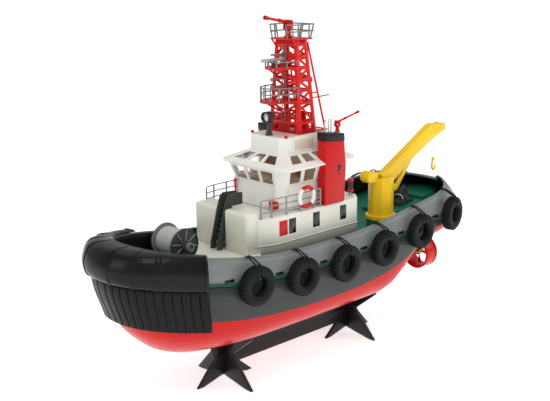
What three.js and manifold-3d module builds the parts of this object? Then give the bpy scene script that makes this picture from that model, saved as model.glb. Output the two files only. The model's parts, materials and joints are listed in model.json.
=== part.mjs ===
// Radio-controlled harbour tug on a display stand, as an assembly of separate pieces.
// Millimetres. +X points to the bow, +Y to port, +Z up; the stand's feet rest on Z = 0.
import * as THREE from 'three';
import { mergeVertices } from 'three/addons/utils/BufferGeometryUtils.js';
import Module from 'manifold-3d';

const wasm = await Module();
wasm.setup();

// ---------- driving dimensions ----------
const GAP = 0.3; // clearance between pieces that touch

// hull
const HULL_LENGTH = 552; // bow to stern at deck level, without fenders
const HALF_BEAM = 84;
const HULL_WALL = 2.2;
const KEEL_Z = 58; // underside of the flat bottom, on the stand
const COUNTER_Z = KEEL_Z + 68; // underside of the overhanging stern
const DECK_LOW_X = 28; // station where the deck edge is lowest
const DECK_LOW_Z = KEEL_Z + 87;
const DECK_RISE_BOW = 27;
const DECK_RISE_STERN = 32;
const DECK_PLATE = 2.4;
const DECK_LEDGE = 1.5; // deck edge stands proud of the hull side
const MIDSHIP_OFFSET = 8; // the stern reaches this much further from the origin than the bow
const BOW_X = HULL_LENGTH / 2 - MIDSHIP_OFFSET;
const STERN_X = -HULL_LENGTH / 2 - MIDSHIP_OFFSET;
const RUN_START_X = STERN_X + 189; // where the bottom starts to rise aft
const RUN_END_X = STERN_X + 104;
const BOW_SHOULDER = 138; // length of the rounded bow
const STERN_SHOULDER = 114;

// bulwark: the wall round the deck
const BULWARK_WALL = 2.4;
const BULWARK_LOW = 27;
const BULWARK_EXTRA = 4;
const TUMBLEHOME = 6; // the top leans in by this at the sides and bow
const STERN_TUMBLEHOME = 24;
const NOTCH_HALF = 29; // towing gap in the stern bulwark
const NOTCH_DEPTH = 7;

// bow fenders
const FENDER_END = 66; // fender ends this far abaft the bow
const FENDER_BULGE = 30; // how far the upper fender stands out at the stem
const FENDER_END_BULGE = 9;
const LOWER_FENDER_BULGE = 20;
const LOWER_FENDER_END_BULGE = 4;
const LOWER_FENDER_DEPTH = 50;

// deckhouse
const HOUSE_TOP = DECK_LOW_Z + 66;
const HOUSE_HALF = 58;
const HOUSE_AFT = -67;
const HOUSE_FRONT = 108;
const HOUSE_WALL = 1.8;
const BLOCK_FRONT = 123; // the two boxes either side of the stair
const BLOCK_TOP = HOUSE_TOP + 8;
const BLOCK_HALF = 48.5;
const HOUSE_FRONT_HALF = 50; // where the chamfered front corner starts
const STAIR_HALF = 7.5;
const FORE_PLATE_X = 168; // front of the low cream platform
const FORE_PLATE_Z = DECK_LOW_Z + 24.5;
const HATCH = { aft: -60, fore: 104, half: 45 };

// wheelhouse
const WHEEL_FRONT = 64;
const WHEEL_AFT = -46;
const WHEEL_HALF = 44;
const SILL_Z = HOUSE_TOP + 31;
const EAVE_Z = SILL_Z + 20; // where the leaning windows meet the roof
const WINDOW_LEAN = 7;
const WHEEL_WALL = 2;
const WINDOW_PANE = 24;
const WINDOW_POST = 4;
const VISOR_LIP = 4.5; // the roof edge stands out past the windows in front and behind
const VISOR_SIDE_LIP = 9.5;
const VISOR_EDGE = 1.6;
const ROOF_BOX = { fore: 50, aft: -34, half: 33, low: EAVE_Z + 14, top: EAVE_Z + 34 };

// funnels
const FUNNEL = {
  fore: 6,
  aft: -28,
  inner: 47,
  outer: 61,
  knee: HOUSE_TOP + 42,
  top: ROOF_BOX.top + 5,
  topAft: ROOF_BOX.top + 1,
};

// mast
const MAST_BASE = { fore: 17, aft: -13, half: 27 };
const MAST_TOP = { fore: 12.5, aft: -5.6, half: 18.5, z: ROOF_BOX.top + 113 };
const MAST_PLATE = 2;
const PLATFORM_LEVELS = [ROOF_BOX.top + 39, ROOF_BOX.top + 79]; // half-round platforms ahead of the mast
const PLATFORM_REACH = [36, 29];
const SCANNER_HALF = 18.5;
const SEARCHLIGHT_X = 42;

// rails and life rings
const RAIL_RISE = 22;
const RAIL_INSET = 2.5; // from the deckhouse's side
const RING_X = 36.5;
const RING_R = 14.2;
const RING_TUBE = 2.9;

// tyres
const TYRE_R = 23;
const TYRE_HOLE_R = 12;
const TYRE_WIDTH = 14;
const TYRE_FROM_BOW = 121;
const TYRE_FROM_STERN = 72;
const TYRE_COUNT = 6;
const TYRE_FIRST_X = BOW_X - TYRE_FROM_BOW;
const TYRE_PITCH = (HULL_LENGTH - TYRE_FROM_BOW - TYRE_FROM_STERN) / (TYRE_COUNT - 1);
const TYRE_DROP = 14; // tyre centre below the middle of the bulwark

// propulsion
const SHAFT_Y = HALF_BEAM - 42;
const SHAFT_Z = KEEL_Z + 44;
const SHAFT_R = 1.25;
const TUBE_R = 3;
const PROP_X = STERN_X + 79;
const NOZZLE_R = 22;
const NOZZLE_WALL = 3;
const NOZZLE_LENGTH = 24;
const BLADE_CLEARANCE = 0.9;
const MOTOR_R = 14;
const MOTOR_LENGTH = 38;
const MOTOR_AFT_X = RUN_START_X + 15;

// winch
const WINCH_X = BOW_X - 79;
const WINCH_Z = DECK_LOW_Z + 46.5;
const WINCH_HALF = 17;
const FLANGE_R = 19.5;
const FLANGE_T = 1.6;
const CORE_R = 9;
const ROPE_R = 15.5;
const STUB_R = 3.5;
const BOSS_R = 6;

// towing bitt
const BITT_X = STERN_X + 77;
const BITT_TOP = DECK_LOW_Z + 47;

// crane
const CRANE_X = -127;
const CRANE_Y = 35;
const PLINTH_R = 19;
const PLINTH_TOP = DECK_LOW_Z + 20.5;
const CRANE_FLANGE_R = 20.5;
const COLUMN_R = 17;
const COLUMN_TOP = PLINTH_TOP + 56.5;
const BOOM_WIDTH = 11;
const BOOM_TIP_X = CRANE_X - 130;
const BOOM_TIP_Z = COLUMN_TOP + 54;
const BOOM_PIVOT = { x: CRANE_X - 5, z: COLUMN_TOP - 8 };
const LINE_X = BOOM_TIP_X + 19;
const LINE_R = 0.4;
const LINE_LENGTH = 30.5;
const HOOK_WIRE = 1.5;
const HOOK_BEND_R = 4.6;

// stand
const FRONT_CROSS_X = 122;
const REAR_CROSS_X = -99;
const STAND_PLATE = 4;
const FOOT_SPREAD = 39; // lengthwise feet either side of each cross
const FOOT_HALF_WIDTH = 4.5;
const CROSS_FOOT_Y = 47.5;
const RAIL_TOP = KEEL_Z - 8;
const RAIL_LOW = 12;
const SLOT_Z = 35; // where the two plates of a cross meet

const TAU = Math.PI * 2;

// ---------- colours ----------
const paint = (color, roughness, metalness = 0) =>
  new THREE.MeshStandardMaterial({ color, roughness, metalness });
const RED = () => paint(0xd62a24, 0.35);
const GREY = () => paint(0x74787a, 0.45);
const GREEN = () => paint(0x13694c, 0.5);
const CREAM = () => paint(0xe6e3d4, 0.45);
const WHITE = () => paint(0xf0eee8, 0.4);
const BLACK_RUBBER = () => paint(0x1b1c1d, 0.55);
const BLACK_PLASTIC = () => paint(0x0e0e0f, 0.4);
const DARK_GREY = () => paint(0x4a4d4c, 0.5);
const YELLOW = () => paint(0xf6c316, 0.4);
const STEEL = () => paint(0xb8babd, 0.3, 0.9);
const BRASS = () => paint(0xb99645, 0.35, 0.9);

// ---------- solids ----------
const group = new THREE.Group();

function cleaned(geometry) {
  const g = geometry.index ? geometry.clone() : geometry;
  g.deleteAttribute('normal');
  g.deleteAttribute('uv');
  return mergeVertices(g, 1e-4);
}

function solid(geometry) {
  const g = cleaned(geometry);
  const pos = new Float32Array(g.attributes.position.array);
  const tri = new Uint32Array(g.index.array);
  let volume = 0;
  const at = (i) => new THREE.Vector3().fromArray(pos, i * 3);
  for (let i = 0; i < tri.length; i += 3) {
    volume += at(tri[i]).dot(at(tri[i + 1]).cross(at(tri[i + 2])));
  }
  if (volume < 0) {
    for (let i = 0; i < tri.length; i += 3) {
      [tri[i], tri[i + 1]] = [tri[i + 1], tri[i]];
    }
  }
  return new wasm.Manifold(new wasm.Mesh({ numProp: 3, vertProperties: pos, triVerts: tri }));
}

function piece(name, shape, material) {
  const out = shape.getMesh();
  const g = new THREE.BufferGeometry();
  g.setAttribute('position', new THREE.BufferAttribute(new Float32Array(out.vertProperties), 3));
  g.setIndex(new THREE.BufferAttribute(new Uint32Array(out.triVerts), 1));
  const mesh = new THREE.Mesh(g, material);
  mesh.name = name;
  group.add(mesh);
}

const joined = (...parts) => parts.reduce((a, b) => a.add(b));

function box(x0, x1, y0, y1, z0, z1) {
  const g = new THREE.BoxGeometry(x1 - x0, y1 - y0, z1 - z0);
  g.translate((x0 + x1) / 2, (y0 + y1) / 2, (z0 + z1) / 2);
  return solid(g);
}

function turnTo(axis, g) {
  if (axis === 'x') g.rotateZ(-Math.PI / 2);
  if (axis === 'z') g.rotateX(Math.PI / 2);
  return g;
}

function rod(axis, r, from, to, sides = 16) {
  const a = new THREE.Vector3(...from);
  const g = turnTo(axis, new THREE.CylinderGeometry(r, r, to, sides));
  const half = { x: [to / 2, 0, 0], y: [0, to / 2, 0], z: [0, 0, to / 2] }[axis];
  g.translate(a.x + half[0], a.y + half[1], a.z + half[2]);
  return solid(g);
}

function bar(r, from, to, sides = 6) {
  const a = new THREE.Vector3(...from);
  const b = new THREE.Vector3(...to);
  const g = new THREE.CylinderGeometry(r, r, a.distanceTo(b), sides);
  const turn = new THREE.Quaternion().setFromUnitVectors(
    new THREE.Vector3(0, 1, 0),
    b.clone().sub(a).normalize(),
  );
  g.applyQuaternion(turn);
  g.translate((a.x + b.x) / 2, (a.y + b.y) / 2, (a.z + b.z) / 2);
  return solid(g);
}

function lathe(axis, profile, centre, sides = 24) {
  const points = profile.map(([r, h]) => new THREE.Vector2(r, h));
  const g = turnTo(axis, new THREE.LatheGeometry(points, sides));
  g.translate(...centre);
  return solid(g);
}

function outlineShape(points) {
  return new THREE.Shape(points.map(([u, v]) => new THREE.Vector2(u, v)));
}

function plateXY(points, z0, z1) {
  const g = new THREE.ExtrudeGeometry(outlineShape(points), { depth: z1 - z0, bevelEnabled: false });
  return solid(g.translate(0, 0, z0));
}

function plateXZ(points, y0, y1) {
  const g = new THREE.ExtrudeGeometry(outlineShape(points), { depth: y1 - y0, bevelEnabled: false });
  return solid(g.rotateX(Math.PI / 2).translate(0, y1, 0));
}

function plateYZ(points, x0, x1) {
  const g = new THREE.ExtrudeGeometry(outlineShape(points), { depth: x1 - x0, bevelEnabled: false });
  const turn = new THREE.Matrix4().makeBasis(
    new THREE.Vector3(0, 1, 0),
    new THREE.Vector3(0, 0, 1),
    new THREE.Vector3(1, 0, 0),
  );
  return solid(g.applyMatrix4(turn).translate(x0, 0, 0));
}

// A solid through rings of equal point counts. Each ring runs from the bow tip down the port side to
// the stern and back, so points i and n - i share a station and the caps are strips across the ring.
function loft(rings) {
  const n = rings[0].length;
  const pos = rings.flat().flatMap((p) => [p.x, p.y, p.z]);
  const tri = [];
  for (let k = 0; k + 1 < rings.length; k += 1) {
    for (let i = 0; i < n; i += 1) {
      const j = (i + 1) % n;
      tri.push(k * n + i, k * n + j, (k + 1) * n + j, k * n + i, (k + 1) * n + j, (k + 1) * n + i);
    }
  }
  for (const [base, up] of [[0, false], [(rings.length - 1) * n, true]]) {
    for (let i = 0; i < n / 2; i += 1) {
      const a = base + i;
      const b = base + i + 1;
      const c = base + ((n - i - 1) % n);
      const d = base + ((n - i) % n);
      const faces = i === 0 ? [[a, b, c]] : b === c ? [[a, b, d]] : [[a, b, c], [a, c, d]];
      for (const f of faces) tri.push(...(up ? f : [f[0], f[2], f[1]]));
    }
  }
  const g = new THREE.BufferGeometry();
  g.setAttribute('position', new THREE.BufferAttribute(new Float32Array(pos), 3));
  g.setIndex(tri);
  return solid(g);
}

// A closed solid through sections of equal point counts, capped with fans: for bars bent round the bow.
function sweep(sections) {
  const n = sections[0].length;
  const pos = sections.flat().flatMap((p) => [p.x, p.y, p.z]);
  const tri = [];
  for (let k = 0; k + 1 < sections.length; k += 1) {
    for (let i = 0; i < n; i += 1) {
      const j = (i + 1) % n;
      tri.push(k * n + i, k * n + j, (k + 1) * n + j, k * n + i, (k + 1) * n + j, (k + 1) * n + i);
    }
  }
  const flat = THREE.ShapeUtils.triangulateShape(
    sections[0].map((p) => new THREE.Vector2(Math.hypot(p.x, p.y), p.z)),
    [],
  );
  const last = (sections.length - 1) * n;
  for (const [a, b, c] of flat) {
    tri.push(c, b, a, last + a, last + b, last + c);
  }
  const g = new THREE.BufferGeometry();
  g.setAttribute('position', new THREE.BufferAttribute(new Float32Array(pos), 3));
  g.setIndex(tri);
  return solid(g);
}

// ---------- the hull's form ----------
const lerp = (a, b, t) => a + (b - a) * t;
const clamp = (t) => Math.min(1, Math.max(0, t));
const smooth = (t) => clamp(t) ** 2 * (3 - 2 * clamp(t));

function keelZ(x) {
  return lerp(KEEL_Z, COUNTER_Z, smooth((RUN_START_X - x) / (RUN_START_X - RUN_END_X)));
}

function deckEdgeZ(x) {
  const forward = x > DECK_LOW_X;
  const reach = forward ? BOW_X - DECK_LOW_X : DECK_LOW_X - STERN_X;
  return DECK_LOW_Z + (forward ? DECK_RISE_BOW : DECK_RISE_STERN) * ((x - DECK_LOW_X) / reach) ** 2;
}

const deckTopZ = (x) => deckEdgeZ(x) + GAP + DECK_PLATE;

function bulwarkTopZ(x) {
  const fromMiddle = Math.abs(x - DECK_LOW_X);
  return deckEdgeZ(x) + BULWARK_LOW + BULWARK_EXTRA * smooth((fromMiddle - 60) / 120);
}

// How far each level of the hull is cut back from the deck-level outline, and how much shorter its
// rounded bow is.
const LEVELS = [
  { t: 0, bow: 76, stern: 44, side: 58, bowShort: 18 },
  { t: 0.1, bow: 52, stern: 24, side: 36, bowShort: 8 },
  { t: 0.18, bow: 35, stern: 13, side: 22, bowShort: 2 },
  { t: 0.3, bow: 20, stern: 6, side: 9.5, bowShort: 0 },
  { t: 0.47, bow: 6, stern: 2, side: 2.5, bowShort: 0 },
  { t: 0.72, bow: 1, stern: 0, side: 0, bowShort: 0 },
  { t: 1, bow: 0, stern: 0, side: 0, bowShort: 0 },
];
const ROUNDNESS = 2.35; // superellipse power of the bow and stern in plan
const BOW_STEPS = 9;
const SIDE_STEPS = 7;
const STERN_STEPS = 7;

function arcPoint(tip, shoulder, half, angle) {
  const along = Math.cos(angle) ** (2 / ROUNDNESS);
  const across = Math.sin(angle) ** (2 / ROUNDNESS);
  return [shoulder + (tip - shoulder) * along, half * across];
}

// Plan outline in from the deck-level one by the given cuts, as [x, y] from the bow down the port side.
function portSide({ bow, stern, side, bowShort = 0, grow = 0 }) {
  const half = HALF_BEAM - side + grow;
  const bowTip = BOW_X - bow + grow;
  const sternTip = STERN_X + stern - grow;
  const bowShoulder = BOW_X - bow - BOW_SHOULDER + bowShort;
  const sternShoulder = STERN_X + STERN_SHOULDER;
  const points = [];
  for (let i = 0; i <= BOW_STEPS; i += 1) {
    points.push(arcPoint(bowTip, bowShoulder, half, (i / BOW_STEPS) * (Math.PI / 2)));
  }
  for (let i = 1; i < SIDE_STEPS; i += 1) {
    points.push([lerp(bowShoulder, sternShoulder, i / SIDE_STEPS), half]);
  }
  for (let i = STERN_STEPS; i >= 0; i -= 1) {
    points.push(arcPoint(sternTip, sternShoulder, half, (i / STERN_STEPS) * (Math.PI / 2)));
  }
  return points;
}

function ring(cuts, heightAt) {
  const port = portSide(cuts);
  port[0][1] = 0;
  port[port.length - 1][1] = 0;
  const starboard = port.slice(1, -1).reverse().map(([x, y]) => [x, -y]);
  return [...port, ...starboard].map(([x, y]) => new THREE.Vector3(x, y, heightAt(x)));
}

const LEVEL_DECK = LEVELS[LEVELS.length - 1];

function hullOuter() {
  return loft(LEVELS.map((cuts) => ring(cuts, (x) => lerp(keelZ(x), deckEdgeZ(x), cuts.t))));
}

// The space inside the hull, less a clearance from its wall.
function hullInner(clearance) {
  const wall = HULL_WALL + clearance;
  const rings = LEVELS.map((cuts) => {
    const lift = wall * Math.max(0, 1 - cuts.t * 4);
    return ring({ ...cuts, grow: -wall }, (x) => lerp(keelZ(x), deckEdgeZ(x), cuts.t) + lift);
  });
  rings.push(ring({ ...LEVEL_DECK, grow: -wall }, (x) => deckEdgeZ(x) + 5));
  return loft(rings);
}

// Everything below a surface that lies GAP above the deck: what stands on the deck is cut to it.
function underDeck() {
  return loft([ring(LEVEL_DECK, () => 0), ring(LEVEL_DECK, (x) => deckTopZ(x) + GAP)]);
}

const belowDeck = underDeck();
const ROOT_Z = 20; // solids that stand on the deck start here and are cut off just above it
const seated = (shape) => shape.subtract(belowDeck);

// Half breadth of the hull at a station and level, read off its outline.
function halfBreadth(x, cuts) {
  const line = portSide(cuts);
  for (let i = 0; i + 1 < line.length; i += 1) {
    if (x <= line[i][0] && x >= line[i + 1][0]) {
      const t = (line[i][0] - x) / (line[i][0] - line[i + 1][0]);
      return lerp(line[i][1], line[i + 1][1], t);
    }
  }
  return 0;
}

// ---------- hull pieces ----------
function makeHull() {
  const skegStart = RUN_START_X - 14;
  const skeg = plateXZ(
    [
      [skegStart, keelZ(skegStart) + 1],
      [skegStart, KEEL_Z + 0.6],
      [PROP_X - 18, KEEL_Z + 8],
      [PROP_X - 26, COUNTER_Z + 1],
      [RUN_END_X, COUNTER_Z + 1],
      [lerp(RUN_START_X, RUN_END_X, 0.6), keelZ(lerp(RUN_START_X, RUN_END_X, 0.6)) + 1],
    ],
    -3.5,
    3.5,
  );
  const bores = [1, -1].map((side) =>
    rod('x', TUBE_R + GAP, [RUN_END_X - 30, side * SHAFT_Y, SHAFT_Z], RUN_START_X - RUN_END_X + 20),
  );
  const shell = hullOuter().add(skeg).subtract(hullInner(0));
  piece('hull_shell', bores.reduce((a, b) => a.subtract(b), shell), RED());
}

function makeDeck() {
  const edge = { ...LEVEL_DECK, grow: DECK_LEDGE };
  const plate = loft([ring(edge, (x) => deckEdgeZ(x) + GAP), ring(edge, deckTopZ)]);
  const hatch = box(HATCH.aft, HATCH.fore, -HATCH.half, HATCH.half, 0, HOUSE_TOP);
  piece('deck', plate.subtract(hatch), GREEN());
}

const BULWARK_TOP = {
  bow: TUMBLEHOME,
  stern: STERN_TUMBLEHOME,
  side: TUMBLEHOME,
  bowShort: 6,
};

function bulwarkRings(grow, low, high) {
  const middle = {
    bow: TUMBLEHOME / 3,
    stern: STERN_TUMBLEHOME / 2.2,
    side: TUMBLEHOME / 3,
    bowShort: 2,
    grow,
  };
  return [
    ring({ ...LEVEL_DECK, grow }, (x) => deckTopZ(x) + GAP + low),
    ring(middle, (x) => lerp(deckTopZ(x), bulwarkTopZ(x), 0.5)),
    ring({ ...BULWARK_TOP, grow }, (x) => bulwarkTopZ(x) + high),
  ];
}

function makeBulwark() {
  const wall = loft(bulwarkRings(0, 0, 0)).subtract(loft(bulwarkRings(-BULWARK_WALL, -5, 5)));
  const sternTop = bulwarkTopZ(STERN_X + STERN_TUMBLEHOME);
  const notch = box(STERN_X - 5, STERN_X + 60, -NOTCH_HALF, NOTCH_HALF, sternTop - NOTCH_DEPTH, 400);
  piece('bulwark', wall.subtract(notch), GREY());
}

// Angles of the fender's sections round the bow, from the port end to the starboard end.
function bowAngles(steps) {
  const reach = (BOW_SHOULDER - FENDER_END) / BOW_SHOULDER;
  const end = Math.acos(reach ** (ROUNDNESS / 2));
  return Array.from({ length: steps + 1 }, (_, i) => lerp(-end, end, i / steps));
}

function bowPoint(cuts, angle, out) {
  const shoulder = BOW_X - cuts.bow - BOW_SHOULDER + cuts.bowShort;
  const half = HALF_BEAM - cuts.side + out;
  const [x, y] = arcPoint(BOW_X - cuts.bow + out, shoulder, half, Math.abs(angle));
  return [x, y * Math.sign(angle)];
}

// One cross-section of a fender: each entry is how far out of which outline, and at what height.
function fenderSection(angle, rows) {
  return rows.map(({ cuts, out, z }) => {
    const [x, y] = bowPoint(cuts, angle, out);
    return new THREE.Vector3(x, y, z);
  });
}

function makeBowFenders() {
  const angles = bowAngles(18);
  const end = angles[angles.length - 1];
  const upper = angles.map((angle) => {
    const [x] = bowPoint(LEVEL_DECK, angle, 0);
    const low = deckEdgeZ(x) - 3;
    const rim = bulwarkTopZ(x);
    const top = rim + 4.5;
    const mid = lerp(low, top, 0.5);
    const bulge = lerp(FENDER_BULGE, FENDER_END_BULGE, smooth(Math.abs(angle) / end));
    const inner = DECK_LEDGE + GAP + 0.3;
    return fenderSection(angle, [
      { cuts: LEVEL_DECK, out: inner, z: low },
      { cuts: LEVEL_DECK, out: inner + 0.6 * bulge, z: low },
      { cuts: LEVEL_DECK, out: 0.9 * bulge, z: lerp(low, mid, 0.35) },
      { cuts: LEVEL_DECK, out: bulge, z: mid },
      { cuts: LEVEL_DECK, out: 0.86 * bulge, z: lerp(mid, top, 0.62) },
      { cuts: BULWARK_TOP, out: 0.55 * bulge + 2, z: top },
      { cuts: BULWARK_TOP, out: -5, z: top - 0.6 },
      { cuts: BULWARK_TOP, out: -5, z: rim + GAP + 0.3 },
      { cuts: BULWARK_TOP, out: 1.6, z: rim + GAP + 0.3 },
      { cuts: LEVEL_DECK, out: inner, z: deckTopZ(x) + 1.5 },
    ]);
  });
  piece('bow_fender_upper', sweep(upper), BLACK_RUBBER());

  const lower = angles.map((angle) => {
    const [x] = bowPoint(LEVEL_DECK, angle, 0);
    const top = deckEdgeZ(x) - 3 - GAP - 0.4;
    const low = top - LOWER_FENDER_DEPTH;
    const bulge = lerp(LOWER_FENDER_BULGE, LOWER_FENDER_END_BULGE, smooth(Math.abs(angle) / end));
    const inner = GAP + 0.3;
    return fenderSection(angle, [
      { cuts: LEVEL_DECK, out: inner, z: top },
      { cuts: LEVELS[4], out: inner + 3, z: lerp(top, low, 0.55) },
      { cuts: LEVELS[4], out: inner + 0.4, z: low },
      { cuts: LEVELS[4], out: 0.5 * bulge + 1, z: low },
      { cuts: LEVEL_DECK, out: 0.85 * bulge, z: lerp(top, low, 0.55) },
      { cuts: LEVEL_DECK, out: bulge, z: top },
    ]);
  });
  piece('bow_fender_lower', sweep(lower).subtract(hullGrown(GAP)), BLACK_RUBBER());
}

function hullGrown(clearance) {
  return loft(
    LEVELS.map((cuts) => {
      const outline = { ...cuts, grow: clearance };
      return ring(outline, (x) => lerp(keelZ(x) - clearance, deckEdgeZ(x), cuts.t));
    }),
  );
}

// ---------- stand ----------
function makeStand() {
  const f = FOOT_HALF_WIDTH;
  const front = { aft: FRONT_CROSS_X - FOOT_SPREAD, fore: FRONT_CROSS_X + FOOT_SPREAD };
  const rear = { aft: REAR_CROSS_X - FOOT_SPREAD, fore: REAR_CROSS_X + FOOT_SPREAD };
  const hip = 17; // half width of the plate where the legs meet the rail
  const spine = plateXZ(
    [
      [rear.aft - f, 0],
      [rear.aft + f, 0],
      [REAR_CROSS_X - 6, RAIL_LOW - 5],
      [REAR_CROSS_X + 6, RAIL_LOW - 5],
      [rear.fore - f, 0],
      [rear.fore + f, 0],
      [REAR_CROSS_X + hip + 6, RAIL_LOW + 6],
      [FRONT_CROSS_X - hip - 6, RAIL_LOW + 6],
      [front.aft - f, 0],
      [front.aft + f, 0],
      [FRONT_CROSS_X - 6, RAIL_LOW - 5],
      [FRONT_CROSS_X + 6, RAIL_LOW - 5],
      [front.fore - f, 0],
      [front.fore + f, 0],
      [FRONT_CROSS_X + hip, RAIL_LOW + 18],
      [FRONT_CROSS_X + hip + 4, RAIL_TOP],
      [REAR_CROSS_X - hip - 4, RAIL_TOP],
      [REAR_CROSS_X - hip, RAIL_LOW + 18],
    ],
    -STAND_PLATE / 2,
    STAND_PLATE / 2,
  );
  const slotHalf = STAND_PLATE / 2 + GAP;
  const slot = (x) => box(x - slotHalf, x + slotHalf, -10, 10, SLOT_Z, RAIL_TOP + 10);
  piece(
    'stand_spine',
    spine.subtract(slot(FRONT_CROSS_X)).subtract(slot(REAR_CROSS_X)),
    BLACK_PLASTIC(),
  );
  makeCross('stand_cross_front', FRONT_CROSS_X);
  makeCross('stand_cross_rear', REAR_CROSS_X);
}

function makeCross(name, x) {
  const f = FOOT_HALF_WIDTH;
  const y = CROSS_FOOT_Y;
  const half = [
    [0, RAIL_LOW - 6],
    [4, RAIL_LOW - 6],
    [y - f, 0],
    [y + f, 0],
    [17, RAIL_TOP - 12],
    [52, RAIL_TOP + 16],
    [56, RAIL_TOP + 30],
    [0, RAIL_TOP + 30],
  ];
  const mirrored = half.slice(1, -1).reverse().map(([u, v]) => [-u, v]);
  const plate = plateYZ([...half, ...mirrored], x - STAND_PLATE / 2, x + STAND_PLATE / 2);
  const slotHalf = STAND_PLATE / 2 + GAP;
  const slot = box(x - 10, x + 10, -slotHalf, slotHalf, -5, SLOT_Z + GAP);
  piece(name, plate.subtract(slot).subtract(hullGrown(GAP + 0.1)), BLACK_PLASTIC());
}

// ---------- propulsion, one side at a time ----------
function makePropulsion(side, suffix) {
  const y = side * SHAFT_Y;
  const nozzleInner = NOZZLE_R - NOZZLE_WALL;
  const start = PROP_X - NOZZLE_LENGTH / 2;
  const duct = lathe(
    'x',
    [
      [nozzleInner, -NOZZLE_LENGTH / 2],
      [NOZZLE_R - 1, -NOZZLE_LENGTH / 2],
      [NOZZLE_R, NOZZLE_LENGTH / 4],
      [NOZZLE_R - 0.8, NOZZLE_LENGTH / 2],
      [nozzleInner + 0.8, NOZZLE_LENGTH / 2],
      [nozzleInner, NOZZLE_LENGTH / 3],
      [nozzleInner, -NOZZLE_LENGTH / 2],
    ],
    [PROP_X, y, SHAFT_Z],
    28,
  );
  const strut = box(PROP_X - 8, PROP_X + 9, y - 4, y + 4, SHAFT_Z + NOZZLE_R - 1.5, COUNTER_Z - GAP);
  piece(`nozzle_${suffix}`, duct.add(strut), RED());

  const tubeFrom = PROP_X + NOZZLE_LENGTH / 2 + 6;
  const tubeTo = MOTOR_AFT_X - 12;
  const tube = rod('x', TUBE_R, [tubeFrom, y, SHAFT_Z], tubeTo - tubeFrom, 14);
  const tubeBore = rod('x', SHAFT_R + GAP, [tubeFrom - 1, y, SHAFT_Z], tubeTo - tubeFrom + 2, 14);
  piece(`stern_tube_${suffix}`, tube.subtract(tubeBore), BRASS());

  const shaftFrom = start + 3;
  const shaftTo = MOTOR_AFT_X - 3;
  const shaft = rod('x', SHAFT_R, [shaftFrom, y, SHAFT_Z], shaftTo - shaftFrom, 10);
  const coupling = rod('x', 4, [tubeTo + 2, y, SHAFT_Z], shaftTo - tubeTo - 2, 12);
  piece(`shaft_${suffix}`, shaft.add(coupling), STEEL());

  const tipR = nozzleInner - BLADE_CLEARANCE;
  let prop = rod('x', 4.2, [PROP_X - 5, y, SHAFT_Z], 10, 12);
  for (let i = 0; i < 4; i += 1) {
    const g = new THREE.BoxGeometry(9, 1.4, tipR - 3);
    g.translate(0, 0, (tipR + 3) / 2 - 0.5);
    g.rotateZ(side * 0.9);
    g.rotateX((i / 4) * TAU);
    g.translate(PROP_X, y, SHAFT_Z);
    prop = prop.add(solid(g));
  }
  const keepInside = rod('x', tipR, [PROP_X - 10, y, SHAFT_Z], 20, 28);
  const hubBore = rod('x', SHAFT_R + GAP, [PROP_X - 20, y, SHAFT_Z], 40, 10);
  piece(`propeller_${suffix}`, prop.intersect(keepInside).subtract(hubBore), BRASS());

  const can = rod('x', MOTOR_R, [MOTOR_AFT_X, y, SHAFT_Z], MOTOR_LENGTH, 20);
  const nose = rod('x', 5, [MOTOR_AFT_X - 2, y, SHAFT_Z], 3, 12);
  const cradleTop = SHAFT_Z - MOTOR_R + 4;
  const foot = box(
    MOTOR_AFT_X + 6,
    MOTOR_AFT_X + MOTOR_LENGTH - 6,
    y - 9,
    y + 9,
    keelZ(MOTOR_AFT_X + 6) + HULL_WALL + 3,
    cradleTop,
  );
  piece(`motor_${suffix}`, joined(can, nose, foot.intersect(hullInner(GAP))), STEEL());
}

function makeElectrics() {
  const floor = KEEL_Z + HULL_WALL + GAP + 0.4;
  const cells = [];
  const cellR = 11;
  const cellLength = 132;
  const cellAft = -36;
  for (let i = 0; i < 2; i += 1) {
    const y = (i - 0.5) * (cellR * 2 - 1);
    cells.push(rod('x', cellR, [cellAft, y, floor + cellR], cellLength, 16));
  }
  piece('battery_pack', joined(...cells), paint(0x2a5aa8, 0.5));
  const receiverAft = cellAft + cellLength + 14;
  piece('receiver_box', box(receiverAft, receiverAft + 46, -14, 14, floor, floor + 18), DARK_GREY());
}

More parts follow.
